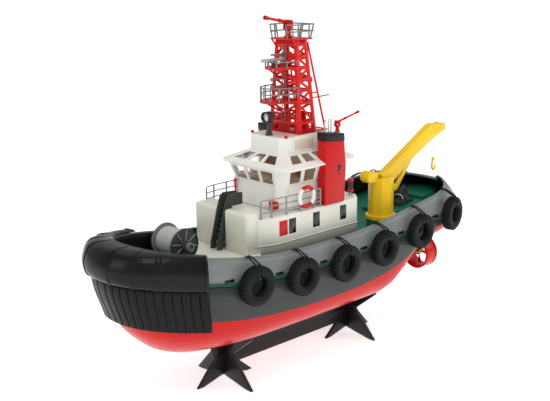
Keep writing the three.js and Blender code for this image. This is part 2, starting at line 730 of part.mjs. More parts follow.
// ---------- foredeck winch ----------
function makeWinch() {
  const postY = WINCH_HALF + FLANGE_T + 2.4;
  const postT = 5;
  const baseHalf = 13;
  const baseTop = deckTopZ(WINCH_X + baseHalf) + 4;
  const outside = postY + postT;
  let frame = box(WINCH_X - baseHalf, WINCH_X + baseHalf, -outside, outside, ROOT_Z, baseTop);
  for (const side of [1, -1]) {
    const y0 = side > 0 ? postY : -postY - postT;
    const cheek = plateXZ(
      [
        [WINCH_X - 10, DECK_LOW_Z + 5],
        [WINCH_X + 10, DECK_LOW_Z + 5],
        [WINCH_X + 4.5, WINCH_Z],
        [WINCH_X - 4.5, WINCH_Z],
      ],
      y0,
      y0 + postT,
    );
    frame = frame.add(cheek).add(rod('y', BOSS_R, [WINCH_X, y0, WINCH_Z], postT, 18));
  }
  const bore = rod('y', STUB_R + GAP, [WINCH_X, -60, WINCH_Z], 120, 16);
  piece('winch_frame', seated(frame.subtract(bore)), DARK_GREY());

  const stubEnd = outside + 1;
  const drum = lathe(
    'y',
    [
      [0, -stubEnd],
      [STUB_R, -stubEnd],
      [STUB_R, -WINCH_HALF - FLANGE_T],
      [FLANGE_R, -WINCH_HALF - FLANGE_T],
      [FLANGE_R, -WINCH_HALF],
      [CORE_R, -WINCH_HALF],
      [CORE_R, WINCH_HALF],
      [FLANGE_R, WINCH_HALF],
      [FLANGE_R, WINCH_HALF + FLANGE_T],
      [STUB_R, WINCH_HALF + FLANGE_T],
      [STUB_R, stubEnd],
      [0, stubEnd],
    ],
    [WINCH_X, 0, WINCH_Z],
    28,
  );
  piece('winch_drum', drum, DARK_GREY());
  const ropeHalf = WINCH_HALF - GAP;
  const rope = lathe(
    'y',
    [
      [CORE_R + GAP, -ropeHalf],
      [ROPE_R, -ropeHalf],
      [ROPE_R + 0.6, 0],
      [ROPE_R, ropeHalf],
      [CORE_R + GAP, ropeHalf],
      [CORE_R + GAP, -ropeHalf],
    ],
    [WINCH_X, 0, WINCH_Z],
    24,
  );
  piece('winch_rope', rope, paint(0xe8e8e4, 0.8));
}

function makeTowingBitt() {
  const x = BITT_X;
  const blade = (y0, y1) =>
    plateXZ(
      [
        [x - 11, BITT_TOP - 42],
        [x + 9, BITT_TOP - 42],
        [x + 8, BITT_TOP - 14],
        [x + 3, BITT_TOP - 5],
        [x - 2, BITT_TOP],
        [x - 7, BITT_TOP - 4],
        [x - 10, BITT_TOP - 14],
      ],
      y0,
      y1,
    );
  const base = box(x - 16, x + 14, -14, 14, ROOT_Z, deckTopZ(x - 16) + 3);
  const cross = rod('y', 2.6, [x, -13, BITT_TOP - 16], 26, 12);
  piece('towing_bitt', seated(joined(base, blade(-9, -4.5), blade(4.5, 9), cross)), DARK_GREY());
}

// ---------- crane ----------
function makeCrane() {
  const plinth = rod('z', PLINTH_R, [CRANE_X, CRANE_Y, ROOT_Z], PLINTH_TOP - ROOT_Z, 24);
  piece('crane_base', seated(plinth), GREEN());

  const foot = PLINTH_TOP + GAP;
  const column = joined(
    rod('z', CRANE_FLANGE_R, [CRANE_X, CRANE_Y, foot], 5, 24),
    rod('z', COLUMN_R, [CRANE_X, CRANE_Y, foot + 4], COLUMN_TOP - foot - 4, 8),
    rod('y', 8, [CRANE_X + 27, CRANE_Y - 6, COLUMN_TOP + 4], 12, 16),
    box(CRANE_X, CRANE_X + 27, CRANE_Y - 5, CRANE_Y + 5, COLUMN_TOP - 4, COLUMN_TOP + 9),
  );
  const slotHalf = BOOM_WIDTH / 2 + GAP;
  const slot = box(
    CRANE_X - COLUMN_R - 5,
    CRANE_X + COLUMN_R - 5,
    CRANE_Y - slotHalf,
    CRANE_Y + slotHalf,
    COLUMN_TOP - 22,
    COLUMN_TOP + 40,
  );
  const pinR = 2;
  const pin = rod('y', pinR, [BOOM_PIVOT.x, CRANE_Y - 14, BOOM_PIVOT.z], 28, 12);
  piece('crane_turret', column.subtract(slot).add(pin), YELLOW());

  const p = BOOM_PIVOT;
  const beam = plateXZ(
    [
      [p.x + 6, p.z - 4],
      [p.x + 9, p.z + 12],
      [p.x + 1, p.z + 15],
      [BOOM_TIP_X + 29, BOOM_TIP_Z + 5],
      [BOOM_TIP_X, BOOM_TIP_Z + 3],
      [BOOM_TIP_X, BOOM_TIP_Z - 6],
      [BOOM_TIP_X + 20, BOOM_TIP_Z - 12],
      [p.x - 58, p.z + 27],
      [p.x - 18, p.z + 2],
      [p.x - 6, p.z - 7],
    ],
    CRANE_Y - BOOM_WIDTH / 2,
    CRANE_Y + BOOM_WIDTH / 2,
  );
  const strut = plateXZ(
    [
      [p.x - 27, p.z - 14],
      [p.x - 22, p.z - 16],
      [p.x - 5, p.z - 6],
      [p.x - 15, p.z - 1],
      [p.x - 24, p.z - 9],
      [p.x - 56, p.z + 32],
      [p.x - 62, p.z + 29],
    ],
    CRANE_Y - 2,
    CRANE_Y + 2,
  );
  const pinHole = rod('y', pinR + GAP, [p.x, CRANE_Y - 20, p.z], 40, 12);
  piece('crane_boom', beam.add(strut).subtract(pinHole), YELLOW());
  makeHook();
}

function tube(points, r, steps, sides) {
  const path = new THREE.CatmullRomCurve3(points.map((q) => new THREE.Vector3(...q)));
  const section = new THREE.Shape();
  section.absarc(0, 0, r, 0, TAU, false);
  const outline = new THREE.Shape(section.getPoints(sides).slice(0, sides));
  return solid(new THREE.ExtrudeGeometry(outline, { steps, extrudePath: path, bevelEnabled: false }));
}

function makeHook() {
  const top = BOOM_TIP_Z - 12 - GAP; // just below the underside of the boom's head
  const line = [];
  for (let i = 0; i <= 18; i += 1) {
    line.push([LINE_X, CRANE_Y, top - (LINE_LENGTH * i) / 18]);
  }
  piece('crane_line', tube(line, LINE_R, 18, 8), paint(0xd8d8d6, 0.6));

  const eye = top - LINE_LENGTH - GAP;
  const bendZ = eye - 16;
  const bend = [];
  for (let i = 0; i <= 7; i += 1) {
    const a = Math.PI * 0.6 + (i / 7) * Math.PI * 1.15;
    bend.push([LINE_X + HOOK_BEND_R * Math.cos(a), CRANE_Y, bendZ + HOOK_BEND_R * Math.sin(a)]);
  }
  const shank = [
    [LINE_X, CRANE_Y, eye - 0.2],
    [LINE_X, CRANE_Y, eye - 6],
  ];
  const hook = tube([...shank, ...bend], HOOK_WIRE, 16, 6);
  const ball = new THREE.SphereGeometry(2.6, 8, 6).translate(LINE_X, CRANE_Y, eye - 3);
  piece('crane_hook', hook.add(solid(ball)), YELLOW());
}

// ---------- deckhouse ----------
function rounded(x0, x1, y0, y1, r, steps = 3) {
  const corners = [
    [x1 - r, y1 - r, 0],
    [x0 + r, y1 - r, 1],
    [x0 + r, y0 + r, 2],
    [x1 - r, y0 + r, 3],
  ];
  const points = [];
  for (const [cx, cy, quarter] of corners) {
    for (let i = 0; i <= steps; i += 1) {
      const a = ((quarter + i / steps) * Math.PI) / 2;
      points.push([cx + r * Math.cos(a), cy + r * Math.sin(a)]);
    }
  }
  return points;
}

function houseOutline(inset) {
  const h = HOUSE_HALF - inset;
  const chamferX = 84;
  const aft = HOUSE_AFT + inset;
  const port = [
    [HOUSE_FRONT - inset, 0],
    [HOUSE_FRONT - inset, HOUSE_FRONT_HALF - inset],
    [chamferX - inset / 2, h],
    [HOUSE_AFT + 12, h],
    [HOUSE_AFT + 4, h - 4],
    [aft, h - 13],
    [aft, 0],
  ];
  const starboard = port.slice(1, -1).reverse().map(([x, y]) => [x, -y]);
  return [...port, ...starboard];
}

function makeDeckhouse() {
  const low = ROOT_Z;
  const w = HOUSE_WALL;
  const blocks = (inset, top) =>
    [1, -1].map((side) => {
      const inner = STAIR_HALF + inset;
      const outer = BLOCK_HALF - inset;
      const [y0, y1] = side > 0 ? [inner, outer] : [-outer, -inner];
      return plateXY(rounded(HOUSE_FRONT - 10, BLOCK_FRONT - inset, y0, y1, 4), low, top);
    });
  const platform = plateXY(
    [
      [BLOCK_FRONT - 20, -HOUSE_HALF + 4],
      [BLOCK_FRONT + 2, -HOUSE_HALF],
      [FORE_PLATE_X - 14, -HOUSE_HALF + 2],
      [FORE_PLATE_X, -HOUSE_HALF + 14],
      [FORE_PLATE_X, HOUSE_HALF - 14],
      [FORE_PLATE_X - 14, HOUSE_HALF - 2],
      [BLOCK_FRONT + 2, HOUSE_HALF],
      [BLOCK_FRONT - 20, HOUSE_HALF - 4],
    ],
    low,
    FORE_PLATE_Z,
  );
  const hollowPlatform = plateXY(
    [
      [BLOCK_FRONT - 24, -HOUSE_HALF + 8],
      [FORE_PLATE_X - 16, -HOUSE_HALF + 6],
      [FORE_PLATE_X - 3, -HOUSE_HALF + 18],
      [FORE_PLATE_X - 3, HOUSE_HALF - 18],
      [FORE_PLATE_X - 16, HOUSE_HALF - 6],
      [BLOCK_FRONT - 24, HOUSE_HALF - 8],
    ],
    low,
    FORE_PLATE_Z - w,
  );
  const outer = joined(plateXY(houseOutline(0), low, HOUSE_TOP), ...blocks(0, BLOCK_TOP), platform);
  const cavity = joined(
    plateXY(houseOutline(w), low - 1, HOUSE_TOP - w),
    ...blocks(w, BLOCK_TOP - w),
    hollowPlatform,
  );
  piece('deckhouse', seated(outer.subtract(cavity)), CREAM());
}

function makeStairs() {
  const low = FORE_PLATE_Z + GAP;
  const x0 = HOUSE_FRONT + GAP;
  const half = STAIR_HALF - GAP;
  const thick = 1.4;
  const cheek = (y0) =>
    plateXZ(
      [
        [x0, low],
        [BLOCK_FRONT + 10, low],
        [BLOCK_FRONT + 9, low + 12],
        [BLOCK_FRONT - 2, BLOCK_TOP],
        [BLOCK_FRONT - 10, BLOCK_TOP + 17],
        [HOUSE_FRONT - 16, BLOCK_TOP + 16],
        [HOUSE_FRONT - 16, BLOCK_TOP + 1],
        [x0 - 1, HOUSE_TOP + GAP],
        [x0, HOUSE_TOP],
      ],
      y0,
      y0 + thick,
    );
  let stairs = cheek(-half).add(cheek(half - thick));
  const steps = 7;
  for (let i = 0; i < steps; i += 1) {
    const z = lerp(low + 4, BLOCK_TOP - 3, i / (steps - 1));
    const front = lerp(BLOCK_FRONT + 9, BLOCK_FRONT - 2, i / (steps - 1));
    stairs = stairs.add(box(front - 9, front, -half, half, z, z + 1.4));
  }
  piece('stairs', stairs, DARK_GREY());
}

// ---------- wheelhouse ----------
// A four-sided frustum given by the front, aft and half-width at two heights.
function frustum(a, z0, b, z1) {
  const corner = (s, z) => [
    [s.fore, 0, z],
    [s.fore, s.half, z],
    [s.aft, s.half, z],
    [s.aft, 0, z],
    [s.aft, -s.half, z],
    [s.fore, -s.half, z],
  ];
  return loft([corner(a, z0), corner(b, z1)].map((r) => r.map((q) => new THREE.Vector3(...q))));
}

const grown = (s, d) => ({ fore: s.fore + d, aft: s.aft - d, half: s.half + d });
const WHEEL_FOOT = { fore: WHEEL_FRONT, aft: WHEEL_AFT, half: WHEEL_HALF };
const WHEEL_EAVE = grown(WHEEL_FOOT, WINDOW_LEAN);
const VISOR = { ...grown(WHEEL_EAVE, VISOR_LIP), half: WHEEL_EAVE.half + VISOR_SIDE_LIP };

function windowCutters() {
  const low = SILL_Z + 1;
  const high = EAVE_Z - 3;
  const cutters = [];
  const paneHalf = WINDOW_PANE / 2;
  for (const i of [-1, 0, 1]) {
    const y = i * (WINDOW_PANE + WINDOW_POST);
    cutters.push(box(WHEEL_AFT - 40, WHEEL_FRONT + 40, y - paneHalf, y + paneHalf, low, high));
  }
  for (const [x0, x1] of [[36, 57], [11, 31], [-38, -31]]) {
    cutters.push(box(x0, x1, -WHEEL_HALF - 40, WHEEL_HALF + 40, low, high));
  }
  return cutters;
}

function wheelhouseShell(outset) {
  const base = frustum(grown(WHEEL_FOOT, outset), HOUSE_TOP + GAP, grown(WHEEL_FOOT, outset), SILL_Z);
  const top = frustum(grown(WHEEL_FOOT, outset), SILL_Z, grown(WHEEL_EAVE, outset), EAVE_Z);
  return base.add(top);
}

function wheelhouseHollow(outset) {
  const inner = grown(WHEEL_FOOT, outset);
  const foot = frustum(inner, HOUSE_TOP - 5, inner, SILL_Z);
  const eave = grown(WHEEL_EAVE, outset);
  const above = EAVE_Z + 5;
  const lean = grown(eave, (WINDOW_LEAN * 5) / (EAVE_Z - SILL_Z));
  return foot.add(frustum(inner, SILL_Z - 0.01, lean, above));
}

function makeWheelhouse() {
  let walls = wheelhouseShell(0).subtract(wheelhouseHollow(-WHEEL_WALL));
  for (const cutter of windowCutters()) walls = walls.subtract(cutter);
  piece('wheelhouse', walls, WHITE());

  const outside = -WHEEL_WALL - GAP;
  const glass = frustum(
    grown(WHEEL_FOOT, outside),
    SILL_Z + 0.2,
    grown(WHEEL_EAVE, outside - 0.2),
    EAVE_Z - 0.4,
  );
  const inside = frustum(
    grown(WHEEL_FOOT, outside - 0.8 - 0.4),
    SILL_Z - 1,
    grown(WHEEL_EAVE, outside - 0.8),
    EAVE_Z + 0.6,
  );
  piece('wheelhouse_glazing', glass.subtract(inside), paint(0xdfe6e6, 0.08));

  makeRoof();
}

function makeRoof() {
  const w = 1.8;
  const low = EAVE_Z + GAP;
  const slope = frustum(VISOR, low + VISOR_EDGE, ROOF_BOX, ROOF_BOX.low);
  const lip = frustum(VISOR, low, VISOR, low + VISOR_EDGE);
  const cap = frustum(ROOF_BOX, ROOF_BOX.low, grown(ROOF_BOX, -1), ROOF_BOX.top);
  const hollow = joined(
    frustum(grown(WHEEL_EAVE, -1.5), low - 1, grown(ROOF_BOX, -w), ROOF_BOX.low - 1.4),
    frustum(grown(ROOF_BOX, -w), ROOF_BOX.low - 2, grown(ROOF_BOX, -w - 1), ROOF_BOX.top - w),
  );
  let roof = joined(lip, slope, cap).subtract(hollow);
  const skyLow = low + 4.5;
  const skyHigh = ROOF_BOX.low - 2.5;
  for (const i of [-1, 0, 1]) {
    const y = i * (WINDOW_PANE + 3);
    const skyHalf = WINDOW_PANE / 2 - 0.5;
    roof = roof.subtract(box(ROOF_BOX.fore + 2, VISOR.fore + 5, y - skyHalf, y + skyHalf, skyLow, skyHigh));
  }
  for (const side of [1, -1]) {
    const nearY = ROOF_BOX.half + 2;
    const farY = VISOR.half + 5;
    const [y0, y1] = side > 0 ? [nearY, farY] : [-farY, -nearY];
    for (const [x0, x1] of [[33, 51], [11, 29]]) {
      roof = roof.subtract(box(x0, x1, y0, y1, skyLow, skyHigh));
    }
    roof = roof.subtract(funnelSolid(side, GAP));
  }
  piece('wheelhouse_roof', roof, WHITE());
}

// ---------- funnels ----------
function funnelSolid(side, clearance) {
  const c = clearance;
  return plateXZ(
    [
      [FUNNEL.aft - c, HOUSE_TOP + GAP],
      [FUNNEL.fore + c, HOUSE_TOP + GAP],
      [FUNNEL.fore + c, FUNNEL.top + c],
      [FUNNEL.aft + 1 - c, FUNNEL.topAft + c],
      [FUNNEL.aft - 3 - c, FUNNEL.knee],
    ],
    side > 0 ? FUNNEL.inner - c : -FUNNEL.outer - c,
    side > 0 ? FUNNEL.outer + c : -FUNNEL.inner + c,
  );
}

function makeFunnels() {
  for (const [side, suffix] of [[1, 'port'], [-1, 'starboard']]) {
    const wall = 1.6;
    const [y0, y1] = side > 0 ? [FUNNEL.inner, FUNNEL.outer] : [-FUNNEL.outer, -FUNNEL.inner];
    const hollow = box(
      FUNNEL.aft + wall,
      FUNNEL.fore - wall,
      y0 + wall,
      y1 - wall,
      HOUSE_TOP - 1,
      FUNNEL.topAft - 12,
    );
    const shape = funnelSolid(side, 0).subtract(hollow);
    const clearOfWheelhouse = wheelhouseShell(GAP);
    piece(`funnel_${suffix}`, shape.subtract(clearOfWheelhouse), RED());
  }
}

// ---------- mast ----------
function mastAt(z) {
  const t = (z - ROOF_BOX.top) / (MAST_TOP.z - ROOF_BOX.top);
  return {
    fore: lerp(MAST_BASE.fore, MAST_TOP.fore, t),
    aft: lerp(MAST_BASE.aft, MAST_TOP.aft, t),
    half: lerp(MAST_BASE.half, MAST_TOP.half, t),
  };
}

function makeMast() {
  const foot = ROOF_BOX.top + GAP;
  const body = frustum(mastAt(foot), foot, mastAt(MAST_TOP.z), MAST_TOP.z);
  const hollow = frustum(
    grown(mastAt(foot), -MAST_PLATE),
    foot - 1,
    grown(mastAt(MAST_TOP.z), -MAST_PLATE),
    MAST_TOP.z + 1,
  );
  let frame = body.subtract(hollow);
  // triangular windows between the lattice's chords and diagonals
  const bays = [foot + 14, foot + 44, foot + 62, foot + 84, MAST_TOP.z - 6];
  for (let i = 0; i + 1 < bays.length; i += 1) {
    const z0 = bays[i] + 2;
    const z1 = bays[i + 1] - 2;
    const s = mastAt((z0 + z1) / 2);
    const flip = i % 2 ? -1 : 1;
    const w = s.half - 5;
    const frontWindows = [
      [[-flip * w, z0], [flip * (w - 5), z0], [-flip * w, z1 - 6]],
      [[flip * w, z1], [-flip * (w - 5), z1], [flip * w, z0 + 6]],
    ];
    for (const window of frontWindows) frame = frame.subtract(plateYZ(window, -60, 60));
    const mid = (s.fore + s.aft) / 2;
    const d = (s.fore - s.aft) / 2 - 3.5;
    const sideWindows = [
      [[mid - flip * d, z0], [mid + flip * (d - 3), z0], [mid - flip * d, z1 - 4]],
      [[mid + flip * d, z1], [mid - flip * (d - 3), z1], [mid + flip * d, z0 + 4]],
    ];
    for (const window of sideWindows) frame = frame.subtract(plateXZ(window, -60, 60));
  }
  const platforms = PLATFORM_LEVELS.map((z, i) => {
    const s = mastAt(z);
    const points = [];
    for (let k = 0; k <= 8; k += 1) {
      const a = -Math.PI / 2 + (k / 8) * Math.PI;
      points.push([s.fore - 1 + PLATFORM_REACH[i] * Math.cos(a), s.half * Math.sin(a)]);
    }
    return plateXY(points, z, z + 2);
  });
  piece('mast_frame', joined(frame, ...platforms), RED());

  const top = MAST_TOP.z + GAP;
  const half = MAST_TOP.half + 3;
  const deckPlate = box(MAST_TOP.aft - 7, MAST_TOP.fore + 6, -half, half, top, top + MAST_PLATE);
  piece('mast_platform', deckPlate, RED());
}

// Fire monitor: an upright head that turns, with a nozzle that tilts on it.
function makeMonitor(prefix, base, nozzleTip, scale) {
  const [x, y, z] = base;
  const pivot = [x, y, z + 17 * scale];
  const long = 3.5 * scale;
  const near = 3.4 * scale;
  const far = 5.2 * scale;
  const yokeZ = z + 9 * scale;
  const head = joined(
    rod('z', 5 * scale, [x, y, z], 3 * scale, 14),
    rod('z', 3.2 * scale, [x, y, z], 11 * scale, 12),
    box(x - long, x + long, y - far, y - near, yokeZ, pivot[2] + 3 * scale),
    box(x - long, x + long, y + near, y + far, yokeZ, pivot[2] + 3 * scale),
    box(x - long, x + long, y - far, y + far, yokeZ, z + 11 * scale),
  );
  piece(`${prefix}_head`, head, RED());
  const out = new THREE.Vector3(...nozzleTip).sub(new THREE.Vector3(...pivot)).normalize();
  const back = new THREE.Vector3(...pivot).addScaledVector(out, -7 * scale);
  const mouth = new THREE.Vector3(...nozzleTip).addScaledVector(out, -5);
  const knuckle = new THREE.SphereGeometry(3 * scale, 12, 8).translate(...pivot);
  const nozzle = joined(
    solid(knuckle),
    bar(2 * scale, back.toArray(), nozzleTip, 10),
    bar(2.8 * scale, mouth.toArray(), nozzleTip, 10),
  );
  piece(`${prefix}_nozzle`, nozzle, RED());
}

function makeMastTop() {
  const top = MAST_TOP.z + GAP + MAST_PLATE + GAP;
  makeMonitor('mast_monitor', [8, 0, top], [46, 0, top + 25.4], 1.05);
  const fz = FUNNEL.topAft + 1.2;
  const fy = (FUNNEL.inner + FUNNEL.outer) / 2;
  makeMonitor('funnel_monitor', [FUNNEL.aft + 6, fy, fz + GAP], [FUNNEL.aft - 32, fy, fz + 21], 0.7);

  const z = PLATFORM_LEVELS[1] + 2 + GAP;
  const x = mastAt(z).fore + SCANNER_HALF + 1.5;
  const scanner = joined(
    rod('z', 2.2, [x, 0, z], 8, 10),
    box(x - SCANNER_HALF, x + SCANNER_HALF, -1.6, 1.6, z + 7, z + 11),
  );
  piece('radar_scanner', scanner, DARK_GREY());
}

function makeSearchlight() {
  const x = SEARCHLIGHT_X;
  const z = ROOF_BOX.top + GAP;
  const lamp = joined(
    rod('z', 4.5, [x, 0, z], 2, 14),
    rod('z', 3.2, [x, 0, z], 17, 12),
    rod('x', 7, [x - 6, 0, z + 22], 13, 18),
  );
  piece('searchlight', lamp, DARK_GREY());
}

// ---------- rails and life rings ----------
function makeRail(side, suffix) {
  const foot = HOUSE_TOP + GAP;
  const y = side * (HOUSE_HALF - RAIL_INSET);
  const stations = [
    [HOUSE_FRONT - 6, side * (BLOCK_HALF + 2.1)],
    [90, side * (HOUSE_HALF - 4)],
    [67, y],
    [45, y],
    [22, y],
    [FUNNEL.fore + 3, y],
  ];
  const r = 0.9;
  let rail = null;
  const use = (s) => {
    rail = rail ? rail.add(s) : s;
  };
  stations.forEach(([px, py]) => use(rod('z', r, [px, py, foot], RAIL_RISE, 4)));
  for (const level of [0.3, 0.63, 1]) {
    for (let i = 0; i + 1 < stations.length; i += 1) {
      const z = foot + RAIL_RISE * level - (level === 1 ? 0.5 : 0);
      use(bar(0.7, [...stations[i], z], [...stations[i + 1], z], 4));
    }
  }
  piece(`rail_${suffix}`, rail, DARK_GREY());

  const g = new THREE.TorusGeometry(RING_R - RING_TUBE, RING_TUBE, 6, 16);
  g.rotateX(Math.PI / 2);
  g.translate(RING_X, y + side * (RING_TUBE + r + GAP), HOUSE_TOP + 17);
  piece(`life_ring_${suffix}`, solid(g), WHITE());
}

// ---------- tyre fenders ----------
function makeTyres() {
  for (const [side, suffix] of [[1, 'port'], [-1, 'starboard']]) {
    for (let i = 0; i < TYRE_COUNT; i += 1) {
      const x = TYRE_FIRST_X - i * TYRE_PITCH;
      const z = (deckEdgeZ(x) + bulwarkTopZ(x)) / 2 - TYRE_DROP;
      const reach = 8;
      const slope = halfBreadth(x - reach, LEVEL_DECK) - halfBreadth(x + reach, LEVEL_DECK);
      const turn = Math.atan2(slope, 2 * reach);
      const profile = [
        [TYRE_HOLE_R, -0.4],
        [TYRE_R - 3, -0.5],
        [TYRE_R, -0.25],
        [TYRE_R, 0.25],
        [TYRE_R - 3, 0.5],
        [TYRE_HOLE_R, 0.4],
        [TYRE_HOLE_R, -0.4],
      ].map(([r, h]) => new THREE.Vector2(r, h * TYRE_WIDTH));
      const g = new THREE.LatheGeometry(profile, 14);
      const standOff = DECK_LEDGE + 4 * GAP + TYRE_WIDTH / 2 + Math.abs(Math.sin(turn)) * 2.5;
      g.rotateZ(-side * turn);
      g.translate(x, side * (halfBreadth(x, LEVEL_DECK) + standOff), z);
      piece(`tyre_${suffix}_${i + 1}`, solid(g), BLACK_RUBBER());
    }
  }
}

makeStand();
makeHull();
makeDeck();
makeBulwark();
makeBowFenders();
makePropulsion(1, 'port');
makePropulsion(-1, 'starboard');
makeElectrics();
makeWinch();
makeTowingBitt();
makeCrane();
makeDeckhouse();
makeStairs();
makeWheelhouse();
makeFunnels();
makeMast();
makeMastTop();
makeSearchlight();
makeRail(1, 'port');
makeRail(-1, 'starboard');
makeTyres();

// the origin lies under the middle of the whole tug, fenders included
group.position.x = MIDSHIP_OFFSET - (FENDER_BULGE - DECK_LEDGE) / 2;

export default group;
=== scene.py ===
# %% [markdown]
# A radio-controlled harbour tug on a black plate stand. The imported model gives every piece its
# place; the cells below give each one its real surface, then add the small trim that hangs on it.
# All lengths are in metres, +X points to the bow, +Y to port and +Z up.

# %% Open the frame
import json
import math
import bmesh
import bpy
from mathutils import Matrix, Quaternion, Vector


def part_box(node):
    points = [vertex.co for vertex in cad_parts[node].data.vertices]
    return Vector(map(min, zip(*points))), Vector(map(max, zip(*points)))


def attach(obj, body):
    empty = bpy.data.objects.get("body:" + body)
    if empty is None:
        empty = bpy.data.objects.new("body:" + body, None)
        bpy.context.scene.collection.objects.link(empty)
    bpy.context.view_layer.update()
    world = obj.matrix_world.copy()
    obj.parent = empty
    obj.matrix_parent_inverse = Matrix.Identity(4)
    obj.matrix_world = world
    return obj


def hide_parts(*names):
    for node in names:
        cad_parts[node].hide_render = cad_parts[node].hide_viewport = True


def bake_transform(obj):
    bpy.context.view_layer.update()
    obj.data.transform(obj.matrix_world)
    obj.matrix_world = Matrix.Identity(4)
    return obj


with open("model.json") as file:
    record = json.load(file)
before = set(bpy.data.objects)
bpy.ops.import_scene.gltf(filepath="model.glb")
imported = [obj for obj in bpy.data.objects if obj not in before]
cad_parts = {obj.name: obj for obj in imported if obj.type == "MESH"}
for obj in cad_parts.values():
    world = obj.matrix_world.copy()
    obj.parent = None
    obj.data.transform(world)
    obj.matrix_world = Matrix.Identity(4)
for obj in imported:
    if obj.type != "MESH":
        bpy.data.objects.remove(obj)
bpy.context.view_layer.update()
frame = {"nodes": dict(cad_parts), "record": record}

mm = 0.001
record = frame["record"]
joint_at = {j["name"]: Vector(j["pos_m"]) for j in record["behaviour"]["joints"] if "pos_m" in j}

# %% [markdown]
# The camera comes first. A tug this size is shot from a little over a metre away with a mild
# telephoto, from off the port bow and slightly above. The lens is set once and aimed at a point
# abaft the stand, then rolled by under a degree.

# %% Camera
camera = bpy.data.objects.new("camera", bpy.data.cameras.new("camera"))
bpy.context.scene.collection.objects.link(camera)
camera.data.sensor_width = 36
camera.data.lens = 58.38
camera.data.clip_start = 0.05
camera.location = (0.75425, 0.7989, 0.488)
aim = Vector((-0.21525, -0.2666, 0.12)) - camera.location
camera.rotation_mode = "QUATERNION"
camera.rotation_quaternion = aim.to_track_quat("-Z", "Y") @ Quaternion(
    (0, 0, 1), math.radians(-0.81)
)
bpy.context.scene.camera = camera
print("camera", tuple(camera.location))

# %% [markdown]
# The hoist line is a thin braid that hangs dead straight from the crane's head to its hook. It is a
# curve with a round section, because a curve keeps its real length and diameter exactly.

# %% Hoist line
def smooth_curve(name, points, radius, resolution=6, cyclic=False):
    data = bpy.data.curves.new(name, "CURVE")
    data.dimensions = "3D"
    data.bevel_depth = radius
    data.bevel_resolution = resolution
    data.use_fill_caps = True
    spline = data.splines.new("POLY")
    spline.points.add(len(points) - 1)
    for spot, p in zip(spline.points, points):
        spot.co = (p[0], p[1], p[2], 1)
    spline.use_cyclic_u = cyclic
    piece = bpy.data.objects.new(name, data)
    bpy.context.scene.collection.objects.link(piece)
    return piece


line_low, line_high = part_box("crane_line")
line_x = (line_low[0] + line_high[0]) / 2
line_y = (line_low[1] + line_high[1]) / 2
line_steps = 18
line_points = [
    (line_x, line_y, line_high[2] + (line_low[2] - line_high[2]) * i / line_steps)
    for i in range(line_steps + 1)
]
hoist_line = smooth_curve("hoist_line", line_points, 0.4 * mm, 2)
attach(hoist_line, "crane_hook")
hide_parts("crane_line")
print("hoist line", round((line_high[2] - line_low[2]) / mm, 1), "mm")

# %% [markdown]
# A studio shot of this kind has a white sweep below and behind, one large soft light over the bow,
# a weaker one from the stern quarter and a bright even surround. Large area lights give the long
# soft highlights that show the black rubber's form.

# %% Floor and light
def area_light(name, place, target, size, power, tint=(1, 1, 1)):
    data = bpy.data.lights.new(name, "AREA")
    data.size = size
    data.energy = power
    data.color = tint
    lamp = bpy.data.objects.new(name, data)
    lamp.location = place
    lamp.rotation_euler = (Vector(target) - Vector(place)).to_track_quat("-Z", "Y").to_euler()
    bpy.context.scene.collection.objects.link(lamp)
    return lamp


area_light("key_light", (0.55, 1.05, 1.45), (0, 0, 0.16), 0.9, 7.5)
area_light("bow_light", (1.6, 0.05, 0.75), (0.1, 0, 0.18), 0.8, 3.4)
area_light("stern_light", (-1.3, 0.9, 0.9), (-0.1, 0, 0.18), 0.8, 4.5)
area_light("top_light", (-0.2, -0.3, 1.8), (0, 0, 0.1), 1.4, 4.5)

world = bpy.data.worlds.new("studio")
bpy.context.scene.world = world
world.use_nodes = True
backdrop = world.node_tree.nodes["Background"]
backdrop.inputs["Color"].default_value = (1, 1, 1, 1)
seen = world.node_tree.nodes.new("ShaderNodeLightPath")
level = world.node_tree.nodes.new("ShaderNodeMapRange")
level.inputs["To Min"].default_value = 0.5
level.inputs["To Max"].default_value = 1.05
world.node_tree.links.new(seen.outputs["Is Camera Ray"], level.inputs["Value"])
world.node_tree.links.new(level.outputs["Result"], backdrop.inputs["Strength"])
bpy.context.scene.view_settings.view_transform = "Standard"

floor_mesh = bmesh.new()
bmesh.ops.create_grid(floor_mesh, x_segments=1, y_segments=1, size=8)
floor_data = bpy.data.meshes.new("floor")
floor_mesh.to_mesh(floor_data)
floor_mesh.free()
floor = bpy.data.objects.new("floor", floor_data)
bpy.context.scene.collection.objects.link(floor)
print("lights and floor set")

# %% [markdown]
# Most of the model is moulded plastic, so one maker writes all its finishes: a colour that drifts a
# little over the surface, a gloss broken up by handling, and a fine skin of bump. What sets each
# finish apart are its colour, how rough it is and how coarse its grain is, so those are arguments.

# %% Finish maker
def node_material(name):
    material = bpy.data.materials.new(name)
    material.use_nodes = True
    return material, material.node_tree.nodes, material.node_tree.links


def wire_colour(nodes, links, place, colours, scale, detail=4):
    """Noise on the piece's own coordinates, spread between two colours."""
    grain = nodes.new("ShaderNodeTexNoise")
    grain.inputs["Scale"].default_value = scale
    grain.inputs["Detail"].default_value = detail
    links.new(place, grain.inputs["Vector"])
    ramp = nodes.new("ShaderNodeValToRGB")
    ramp.color_ramp.elements[0].position = 0.3
    ramp.color_ramp.elements[1].position = 0.7
    ramp.color_ramp.elements[0].color = (*colours[0], 1)
    ramp.color_ramp.elements[1].color = (*colours[1], 1)
    links.new(grain.outputs["Fac"], ramp.inputs["Fac"])
    return ramp.outputs["Color"]


